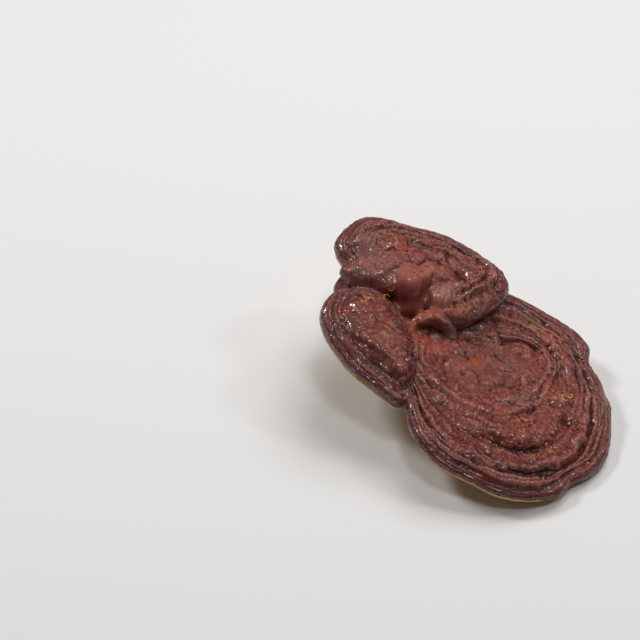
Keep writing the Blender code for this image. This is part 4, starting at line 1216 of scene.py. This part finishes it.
masks = {name: patch_mask(patches) for name, patches in PATCHES.items()}
masks["crease"], _ = hollow(6)
masks["dip"], broad = hollow(60)
masks["flat"] = normals_of(broad, faces)[:, 2]
off_stem = off_fold(points, [(tuple(FOOT_OF_STEM), 11.0), (STEM_TOP, 15.0)])
turned_under = [
    growth[lobe.name]["column"] - lobe.rim_band - around(UNDER_FROM, growth[lobe.name]["degrees"])
    for lobe in lobes
]
under = np.sum([share_of[i] * np.clip(t, -4.0, 4.0) for i, t in enumerate(turned_under)], axis=0)
under -= 4.0 * share_of[KNOB:].sum(axis=0)
is_stem = step((off[:3].min(axis=0) - off_stem) / 1.5 + 0.5)
masks["under"] = np.clip(under, -4.0, 4.0) * (1.0 - is_stem) - 4.0 * is_stem
owner = off[:3].argmin(axis=0)
for key in ("ring", "from_rim", "margin"):
    masks[key] = np.choose(owner, [carved[lobe.name][key] for lobe in lobes])
masks["margin"] *= share_of[:KNOB].sum(axis=0)
masks["across"] = np.choose(owner, [growth[lobe.name]["walked"] for lobe in lobes])
young = np.sum([share_of[i] * carved[lobe.name]["young"] for i, lobe in enumerate(lobes)], axis=0)
masks["smooth_middle"] = 1.0 - young - 0.8 * share_of[TONGUE]
masks["smooth_knob"] = share_of[KNOB]
for name, mask in masks.items():
    print(name, "from", round(float(mask.min()), 2), "to", round(float(mask.max()), 2))

# %% [markdown]
# ## Into place
#
# The skin leans over into the pose it rests in. Collapsing the shortest edges where it is plain
# halves the faces and leaves the creases sharp. A knife cut level with the table gives the stem its
# flat end. Where the low rim comes down to the table, it stays a hair above it.

# %% Into place, thinned and cut
TRIANGLES = 196000
TABLE_GAP = 0.12 * MM
CRUST, PORES, CUT = 0, 1, 2


def with_masks(mesh, masks):
    """Writes each mask on the mesh, as one number for each point."""
    for name, values in masks.items():
        attribute = mesh.attributes.new(name, "FLOAT", "POINT")
        attribute.data.foreach_set("value", values.astype(np.float32))
    return mesh


def thinned(mesh, triangles):
    """The mesh with that many triangles, fewer where it is plain."""
    bm = bmesh.new()
    bm.from_mesh(mesh)
    bmesh.ops.triangulate(bm, faces=bm.faces)
    bm.to_mesh(mesh)
    bm.free()
    decimate = new_object("thinned", mesh).modifiers.new("thinned", "DECIMATE")
    decimate.ratio = triangles / len(mesh.polygons)
    return evaluated_mesh(decimate.id_data)


def cut_level(mesh):
    """Cuts off all that lies below the table and closes the cut."""
    bm = bmesh.new()
    bm.from_mesh(mesh)
    everything = bm.verts[:] + bm.edges[:] + bm.faces[:]
    cut = bmesh.ops.bisect_plane(
        bm, geom=everything, dist=1e-7, plane_co=(0, 0, 0), plane_no=(0, 0, 1), clear_inner=True
    )
    rim = [e for e in cut["geom_cut"] if isinstance(e, bmesh.types.BMEdge)]
    filled = bmesh.ops.triangle_fill(bm, edges=rim, use_beauty=True, normal=(0, 0, -1))
    ends = [f for f in filled["geom"] if isinstance(f, bmesh.types.BMFace)]
    for face in bm.faces:
        face.smooth = True
    for face in ends:
        face.material_index = CUT
        face.smooth = False
    return finished(bm, "reishi")


placed = place_of(points)
low = (placed[:, 2] < TABLE_GAP) & (is_stem < 0.5)
placed[low, 2] = TABLE_GAP
mesh = bpy.data.meshes.new("reishi")
mesh.from_pydata(placed.tolist(), [], faces.tolist())
mesh = cut_level(thinned(with_masks(mesh, masks), TRIANGLES))
cut_faces = sum(face.material_index == CUT for face in mesh.polygons)
print("triangles:", len(mesh.polygons), "of which the cut:", cut_faces)

# %% [markdown]
# ## Finishes
#
# A finish is a small tree of nodes. One helper adds a node with its settings and links, so each
# tree reads from top to bottom.

# %% One helper for node trees
# Short names for the nodes that come again and again, with their settings
OFTEN = {
    "mix": ("ShaderNodeMix", {"data_type": "RGBA"}),
    "ramp": ("ShaderNodeMapRange", {"interpolation_type": "SMOOTHSTEP"}),
    "noise": ("ShaderNodeTexNoise", {}),
    "times": ("ShaderNodeMath", {"operation": "MULTIPLY"}),
    "times_plus": ("ShaderNodeMath", {"operation": "MULTIPLY_ADD"}),
    "plus": ("ShaderNodeMath", {"operation": "ADD"}),
    "larger": ("ShaderNodeMath", {"operation": "MAXIMUM"}),
}


def add(tree, kind, *inputs, named=None, out=None, **settings):
    """A node with its settings. Inputs go in by their order or by name, as values, hex colours or
    other nodes' outputs. What comes back is the output of that name, or the first one in use."""
    kind, usual = OFTEN.get(kind, (kind, {}))
    node = tree.nodes.new(kind)
    for name, value in {**usual, **settings}.items():
        setattr(node, name, value)
    pairs = list(zip((socket for socket in node.inputs if socket.enabled), inputs))
    pairs += [(node.inputs[name], value) for name, value in (named or {}).items()]
    for socket, value in pairs:
        if isinstance(value, bpy.types.NodeSocket):
            tree.links.new(value, socket)
        else:
            socket.default_value = linear(value) if str(value).startswith("#") else value
    if out:
        return node.outputs[out]
    return next((socket for socket in node.outputs if socket.enabled), None)


def new_finish(name, masks=()):
    """A material, its empty tree, and the outputs that read those masks of the mesh."""
    material = bpy.data.materials.new(name)
    material.use_nodes = True
    tree = material.node_tree
    tree.nodes.clear()
    kind = "ShaderNodeAttribute"
    return material, tree, {m: add(tree, kind, out="Fac", attribute_name=m) for m in masks}


def millimetres_on(tree):
    """Places on the piece itself, in millimetres, so that a noise of scale 1 is 1 mm wide."""
    place = add(tree, "ShaderNodeTexCoord", out="Object")
    return add(tree, "ShaderNodeVectorMath", place, 1.0 / MM, operation="SCALE")


print("masks that a finish can read:", list(masks))

# %% [markdown]
# ### Lacquered crust
#
# The crust is a hard varnish that the mushroom makes itself, over red-brown cork. Most of it has
# worn to a satin. What is left of the gloss is thousands of small flakes, so it glints in crisp
# points: the shader has a clear coat, and a mask of short dashes that lets it through. Shade is
# painted into the hollows and onto steep sides, and a sheen onto level ridges. The fibres under the
# varnish run across the growth lines, so their pattern follows the ring and the distance across it,
# not the room.

# %% Lacquered crust
CRUST_MASKS = ("crease", "dip", "flat", "smooth_middle", "smooth_knob", "under", "ring", "across")
# How strongly each kind of patch shows, and its colour; rosy is partly a painted sheen. The pale
# one is painted light, laid on last
PATCH_COLOURS = [
    ("wine", 0.6, "#380F12"), ("red", 0.6, "#6A140E"), ("rosy", 0.55, "#98493E"),
    ("warm", 0.55, "#9A4A2C"), ("slate", 0.85, "#45464C"), ("margin", 0.5, "#5A363A"),
    ("grey_green", 0.4, "#786658"), ("tan", 0.6, "#A07E58"),
]


def grown_by(tree, mask, along, across):
    """Places by growth: that many features to a millimetre along the ring, and across the rings."""
    grown = add(tree, "ShaderNodeCombineXYZ", mask["ring"], mask["across"])
    sizes = (along, across, 1.0)
    return add(tree, "ShaderNodeVectorMath", grown, sizes, operation="MULTIPLY")


def crust_colour(tree, mask, millimetres):
    """The varnish under its dust, wear and stains, with painted sheen and painted shade."""
    fibres = add(tree, "noise", grown_by(tree, mask, 1.5, 0.45), 1.0, 2.0, 0.6)
    layers = add(tree, "noise", grown_by(tree, mask, 0.22, 0.9), 1.0, 3.0)
    blotches = add(tree, "noise", millimetres, 0.13, 3.0)
    spots = add(tree, "noise", millimetres, 0.55, 3.0, 0.6)
    # Clean varnish, blotched, spotted, and darker along some of the layers
    colour = add(tree, "mix", add(tree, "ramp", blotches, 0.38, 0.62), "#44120E", "#6E281F")
    spotted = add(tree, "ramp", spots, 0.42, 0.66, 0.0, 0.5)
    colour = add(tree, "mix", spotted, colour, "#803C31")
    layered = add(tree, "ramp", layers, 0.5, 0.7, 0.0, 0.4)
    colour = add(tree, "mix", layered, colour, "#4C2024")
    # Dust and a painted sheen lie on what is level; the knobs are smooth and paler
    dust_and_sheen = add(tree, "ramp", fibres, 0.35, 0.6, 0.2, 0.6)
    dust_and_sheen = add(tree, "times", add(tree, "ramp", mask["flat"], 0.85, 0.99), dust_and_sheen)
    colour = add(tree, "mix", dust_and_sheen, colour, "#875048")
    colour = add(tree, "mix", add(tree, "times", mask["smooth_knob"], 0.7), colour, "#9C5F50")
    for patch, share, patch_colour in PATCH_COLOURS:
        colour = add(tree, "mix", add(tree, "times", mask[patch], share), colour, patch_colour)
    # Ridges: wear and a painted sheen; steeper sides: deep red painted shade; hollows: painted
    # shade
    wear_and_sheen = add(tree, "ramp", mask["flat"], 0.55, 0.95)
    wear_and_sheen = add(tree, "times", add(tree, "ramp", mask["crease"], 0.0, -0.09), wear_and_sheen)
    wear_and_sheen = add(tree, "times", wear_and_sheen, add(tree, "ramp", fibres, 0.35, 0.6, 0.1, 0.6))
    colour = add(tree, "mix", wear_and_sheen, colour, "#AC7066")
    # Painted shade: sides that turn away from level are darkened to a deep red
    steep_shade = add(tree, "ramp", mask["flat"], 0.93, 0.6, 0.0, 0.5)
    colour = add(tree, "mix", steep_shade, colour, "#52100B")
    # Painted shade: creases and broad dips are darkened
    crease_shade = add(tree, "ramp", mask["crease"], 0.02, 0.15, 0.0, 0.88)
    hollow_shade = add(tree, "larger", crease_shade, add(tree, "ramp", mask["dip"], 0.2, 1.0, 0.0, 0.28))
    colour = add(tree, "mix", hollow_shade, colour, "#260B09")
    # Painted light: the pale patches are lightened last
    return add(tree, "mix", add(tree, "times", mask["pale"], 0.55), colour, "#A0685E")


def lacquered_crust():
    """Natural varnish over cork: satin, so it keeps its colour, with glints where it is whole."""
    patches = [patch for patch, _, _ in PATCH_COLOURS]
    material, tree, mask = new_finish("lacquered_crust", (*CRUST_MASKS, *patches, "pale"))
    millimetres = millimetres_on(tree)
    colour = crust_colour(tree, mask, millimetres)
    # Fibres across the growth and rows along it fade in the smooth middle, where pebbles are left
    threads = add(tree, "noise", grown_by(tree, mask, 1.5, 0.6), 1.0, 1.0)
    rows = add(tree, "noise", grown_by(tree, mask, 0.22, 0.75), 1.0, 1.0)
    woven = add(tree, "times_plus", rows, 0.14, add(tree, "times", threads, 0.14))
    fading = add(tree, "ramp", mask["smooth_middle"], 0.1, 0.7, 1.0, 0.0)
    woven = add(tree, "times", woven, fading)
    pebbles = add(tree, "noise", millimetres, 0.8, 1.0)
    height = add(tree, "times_plus", pebbles, 0.09, woven)
    height = add(tree, "times_plus", add(tree, "noise", millimetres, 0.5, 1.0), 0.12, height)
    calm = add(tree, "ramp", mask["smooth_knob"], 0.0, 1.0, 1.0, 0.35)
    relief = {"Height": height, "Distance": MM}
    bump = add(tree, "ShaderNodeBump", named={**relief, "Strength": calm})
    # Shade painted between pebbles and threads; under the rim the pale growing edge shows
    between = add(tree, "ramp", threads, 0.5, 0.36, 0.0, 0.35)
    between = add(tree, "plus", add(tree, "ramp", pebbles, 0.5, 0.35, 0.0, 0.12), between)
    colour = add(tree, "mix", add(tree, "times", between, calm), colour, "#260D0B")
    edge = add(tree, "ramp", mask["under"], -0.45, -0.1)
    colour = add(tree, "mix", edge, colour, "#DDB070")
    # Flakes of whole varnish, fewer where it is level, smooth or on the pale painted light; old
    # lacquer's index is near 1.6, and a little more stands for the flakes that are too small to
    # draw
    flakes = add(tree, "noise", grown_by(tree, mask, 2.2, 0.7), 1.0, 2.0, 0.6)
    lacquer = add(tree, "ramp", flakes, 0.5, 0.55)
    fewer = [
        (mask["smooth_middle"], 0.2, 0.9, 1.0, 0.3), (mask["flat"], 0.97, 0.88, 0.6, 1.0),
        (add(tree, "noise", millimetres, 0.16), 0.4, 0.55, 0.6, 1.0),
        (mask["pale"], 0.0, 1.0, 1.0, 0.2),
    ]
    for place in fewer:
        lacquer = add(tree, "times", lacquer, add(tree, "ramp", *place))
    film = add(tree, "ShaderNodeBump", named={**relief, "Strength": 0.75})
    skin = {"Base Color": colour, "Roughness": 0.42, "IOR": 1.4, "Normal": bump}
    coat = {"Coat Weight": lacquer, "Coat Roughness": 0.1, "Coat IOR": 1.8, "Coat Normal": film}
    surface = add(tree, "ShaderNodeBsdfPrincipled", named={**skin, **coat})
    add(tree, "ShaderNodeOutputMaterial", surface)
    return material


finishes = [lacquered_crust()]
print(finishes[0].name, "has", len(finishes[0].node_tree.nodes), "nodes")

# %% [markdown]
# ### Pores and cut flesh
#
# The underside is a sheet of fine pores that shed the spores, pale tan and dull when dry. They
# could be holes in the mesh, but there are tens of thousands of them, so a pattern of cells dents
# them and paints shade into them instead. Where the stem was cut, the corky flesh shows its fibres
# and growth rings, and the dark crust is a thin line round it.

# %% Pores and cut flesh


def pore_surface():
    """Dry pores, a dull tan; drawn three times coarser than real ones, or they would flicker."""
    material, tree, mask = new_finish("pore_surface", ["from_rim"])
    millimetres = millimetres_on(tree)
    cells = {"Vector": millimetres, "Scale": 1.3}
    pores = add(tree, "ShaderNodeTexVoronoi", named=cells, out="Distance")
    rings = add(tree, "ShaderNodeCombineXYZ", add(tree, "times", mask["from_rim"], 0.3))
    # The last layer is painted shade in the middle of each pore cell, where its hole would be
    layers = [
        (add(tree, "noise", rings, 1.0, 2.0), 0.45, 0.65, 0.5, "#94704A"),
        (add(tree, "noise", millimetres, 0.5, 3.0), 0.5, 0.75, 0.5, "#8A6844"),
        (pores, 0.3, 0.05, 0.6, "#6E5236"),
    ]
    blotches = add(tree, "noise", millimetres, 0.09, 4.0)
    colour = add(tree, "mix", add(tree, "ramp", blotches, 0.35, 0.65), "#B58648", "#CDA05E")
    for where, low, high, share, layer_colour in layers:
        here = add(tree, "ramp", where, low, high, 0.0, share)
        colour = add(tree, "mix", here, colour, layer_colour)
    relief = {"Height": pores, "Strength": 0.5, "Distance": 0.25 * MM}
    bump = add(tree, "ShaderNodeBump", named=relief)
    skin = {"Base Color": colour, "Roughness": 0.85, "IOR": 1.45, "Normal": bump}
    add(tree, "ShaderNodeOutputMaterial", add(tree, "ShaderNodeBsdfPrincipled", named=skin))
    return material


def cut_flesh():
    """Corky flesh where the stem was cut: dull and fibrous, with growth rings and a dark rim."""
    material, tree, _ = new_finish("cut_corky_flesh")
    millimetres = millimetres_on(tree)
    fibres = add(tree, "noise", millimetres, 1.6, 4.0, 0.65)
    reach = add(tree, "ShaderNodeVectorMath", millimetres, operation="LENGTH", out="Value")
    zones = add(tree, "noise", add(tree, "ShaderNodeCombineXYZ", reach), 0.55, 2.0)
    colour = add(tree, "mix", add(tree, "ramp", fibres, 0.35, 0.65), "#6B4529", "#9A7148")
    ringed = add(tree, "ramp", zones, 0.42, 0.6, 0.0, 0.6)
    colour = add(tree, "mix", ringed, colour, "#55331F")
    colour = add(tree, "mix", add(tree, "ramp", reach, 9.6, 11.2), colour, "#3A1512")
    relief = {"Height": fibres, "Strength": 0.6, "Distance": 0.4 * MM}
    bump = add(tree, "ShaderNodeBump", named=relief)
    skin = {"Base Color": colour, "Roughness": 0.9, "IOR": 1.4, "Normal": bump}
    add(tree, "ShaderNodeOutputMaterial", add(tree, "ShaderNodeBsdfPrincipled", named=skin))
    return material


finishes += [pore_surface(), cut_flesh()]
print([finish.name for finish in finishes[1:]], "stand at", PORES, "and", CUT)

# %% [markdown]
# ### The mushroom as one piece
#
# The real one is a single woody piece, so it is one mesh with three finishes. It could be cut into
# three meshes, but then a seam might open at the rim. Faces whose mask says that they have turned
# under take the pores, and the flat cut has its own finish already. The mesh stands in for the
# measured solid, which is hidden, and hangs from the root.

# %% The mushroom
PORES_FROM = 0.35

for finish in finishes:
    mesh.materials.append(finish)
under = np.empty(len(mesh.vertices), dtype=np.float32)
mesh.attributes["under"].data.foreach_get("value", under)
for face in mesh.polygons:
    if face.material_index == CRUST and under[list(face.vertices)].mean() > PORES_FROM:
        face.material_index = PORES
mushroom = new_object("reishi", mesh)
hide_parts("cap_and_stem")
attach(mushroom, "root")
print("faces of pores:", sum(face.material_index == PORES for face in mesh.polygons))

# %% [markdown]
# ## Golden threads
#
# Thin golden fibres of dry grass stick to the lacquer, curled up as they dried. They are all alike,
# so Geometry Nodes sets one curl on each of a few places, turned and sized at random with a fixed
# seed. Real fibres are a tenth of a millimetre thick; these are three times that, or they would not
# show.

# %% Golden threads
THREAD_PLACES = [
    (-35.3, 18.2), (-36.7, 14.5), (-34.2, 17.0), (-26.0, 24.4), (-26.8, 21.9), (-32.6, 7.5),
    (-4.6, -12.9), (46.4, -9.4), (47.6, -8.2), (28.7, -23.9), (31.8, -23.5), (27.4, -29.4),
    (40.6, -34.1), (40.5, -36.5), (36.7, -48.4), (3.1, -14.9),
]
THREAD_LIFT = 0.2
THREAD_REACH = 0.6
LEVEL_ENOUGH = 0.3
THREAD_SIZES = {"Thread Radius": 0.14 * MM, "Curl Radius": 1.7 * MM, "Seed": 4}


def thread_points():
    """The places as loose points of a mesh, lifted a little, with the crust's direction at each."""
    up = outward[:, 2] > LEVEL_ENOUGH
    nearest = []
    for x, y in THREAD_PLACES:
        gap = np.hypot(points[:, 0] - x, points[:, 1] - y)
        close = np.flatnonzero(up & (gap < THREAD_REACH))
        nearest.append(close[points[close, 2].argmax()])
    lifted = place_of(points[nearest] + THREAD_LIFT * outward[nearest])
    mesh = bpy.data.meshes.new("golden_threads")
    mesh.from_pydata(lifted.tolist(), [], [])
    facing = (outward[nearest] @ LEAN.T).astype(np.float32)
    attribute = mesh.attributes.new("facing", "FLOAT_VECTOR", "POINT")
    attribute.data.foreach_set("vector", facing.ravel())
    return mesh


def thread_tree(material):
    """One loose curl on every point, lying flat on the crust."""
    tree = bpy.data.node_groups.new("golden_threads", "GeometryNodeTree")
    kinds = {
        "Geometry": "Geometry", "Thread Radius": "Float", "Curl Radius": "Float", "Seed": "Int",
    }
    for name, kind in kinds.items():
        tree.interface.new_socket(name, in_out="INPUT", socket_type=f"NodeSocket{kind}")
    tree.interface.new_socket("Geometry", in_out="OUTPUT", socket_type="NodeSocketGeometry")
    given = tree.nodes.new("NodeGroupInput").outputs
    spiral = {
        "Resolution": 24, "Rotations": 0.62, "Height": 0.8 * MM, "End Radius": given["Curl Radius"],
        "Start Radius": add(tree, "times", given["Curl Radius"], 0.7),
    }
    curl = add(tree, "GeometryNodeCurveSpiral", named=spiral)
    section = {"Resolution": 6, "Radius": given["Thread Radius"]}
    section = add(tree, "GeometryNodeCurvePrimitiveCircle", named=section, out="Curve")
    thread = {"Curve": curl, "Profile Curve": section, "Fill Caps": True}
    thread = add(tree, "GeometryNodeCurveToMesh", named=thread)
    facing = add(tree, "GeometryNodeInputNamedAttribute", "facing", data_type="FLOAT_VECTOR")
    level = {"Vector": facing}
    level = add(tree, "FunctionNodeAlignRotationToVector", named=level, axis="Z")
    turn = {"Min": (-0.3, -0.3, 0.0), "Max": (0.3, 0.3, 2.0 * math.pi), "Seed": given["Seed"]}
    turn = add(tree, "FunctionNodeRandomValue", named=turn, data_type="FLOAT_VECTOR")
    turned = add(tree, "FunctionNodeRotateRotation", level, turn, rotation_space="LOCAL")
    size = {"Min": 0.6, "Max": 1.1, "Seed": given["Seed"]}
    size = add(tree, "FunctionNodeRandomValue", named=size, data_type="FLOAT")
    placed = {"Points": given["Geometry"], "Instance": thread, "Rotation": turned, "Scale": size}
    placed = add(tree, "GeometryNodeInstanceOnPoints", named=placed)
    real = add(tree, "GeometryNodeRealizeInstances", placed)
    finish = {"Geometry": real, "Material": material}
    add(tree, "NodeGroupOutput", add(tree, "GeometryNodeSetMaterial", named=finish))
    return tree


def golden_fibre():
    """Dry grass fibre: a waxy skin over straw, so it is half glossy and takes on the light."""
    material, tree, _ = new_finish("golden_grass_fibre")
    shades = add(tree, "noise", add(tree, "ShaderNodeTexCoord", out="Object"), 300.0)
    colour = add(tree, "mix", add(tree, "ramp", shades, 0.4, 0.6), "#C8952C", "#E8C25A")
    skin = {"Base Color": colour, "Roughness": 0.45, "IOR": 1.45}
    add(tree, "ShaderNodeOutputMaterial", add(tree, "ShaderNodeBsdfPrincipled", named=skin))
    return material


carrier = new_object("golden_threads", thread_points())
curls = carrier.modifiers.new("golden_threads", "NODES")
curls.node_group = thread_tree(golden_fibre())
for item in curls.node_group.interface.items_tree:
    if item.in_out == "INPUT" and item.name in THREAD_SIZES:
        curls[item.identifier] = THREAD_SIZES[item.name]
threads = new_object("golden_threads", evaluated_mesh(carrier))
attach(threads, "root")
print(threads.name, "curls:", len(THREAD_PLACES), "faces:", len(threads.data.polygons))

# %% [markdown]
# ## Floor and light
#
# A wide pale floor and a big soft light behind and above. Photographers turn such a light's mirror
# image off with a polarising filter, so that lacquer keeps its colour; here it is left out for
# glossy rays. Three smaller and weaker lights make the crisp glints instead.

# %% Floor and light
FLOOR_REACH, FLOOR_COLOUR = 3.0, "#D7D7D7"
# Each light's place and size in metres, and its watts
LIGHTS = {
    "overhead_behind": ((0.32, 0.55, 1.0), 0.7, 9.1),
    "left_behind": ((-0.7, 0.3, 0.85), 0.22, 5.0),
    "right": ((0.75, 0.1, 0.85), 0.16, 1.5),
    "overhead": ((0.1, -0.3, 1.15), 0.2, 2.4),
}
ROOM_COLOUR, ROOM_STRENGTH = "#EBDCC6", 0.16


def floor_sheet():
    """A matte pale floor, which sends a little light up under the rim."""
    bm = bmesh.new()
    bmesh.ops.create_grid(bm, x_segments=1, y_segments=1, size=FLOOR_REACH)
    sheet = new_object("floor", finished(bm, "floor"))
    material, tree, _ = new_finish("pale_paper")
    skin = {"Base Color": FLOOR_COLOUR, "Roughness": 0.9}
    add(tree, "ShaderNodeOutputMaterial", add(tree, "ShaderNodeBsdfPrincipled", named=skin))
    sheet.data.materials.append(material)
    return sheet


def soft_light(name, place, size, watts):
    """A square light that looks at the middle of the table."""
    lamp = new_object(name, bpy.data.lights.new(name, "AREA"))
    lamp.data.size = size
    lamp.data.energy = watts
    lamp.location = place
    lamp.rotation_euler = (-Vector(place)).to_track_quat("-Z", "Y").to_euler()
    return lamp


floor_sheet()
lamps = {name: soft_light(name, *light) for name, light in LIGHTS.items()}
lamps["overhead_behind"].visible_glossy = False
world = bpy.data.worlds.new("room")
bpy.context.scene.world = world
world.use_nodes = True
room = world.node_tree.nodes["Background"].inputs
room["Color"].default_value = linear(ROOM_COLOUR)
room["Strength"].default_value = ROOM_STRENGTH
bpy.context.scene.view_settings.view_transform = "Standard"
print("lights:", list(lamps))
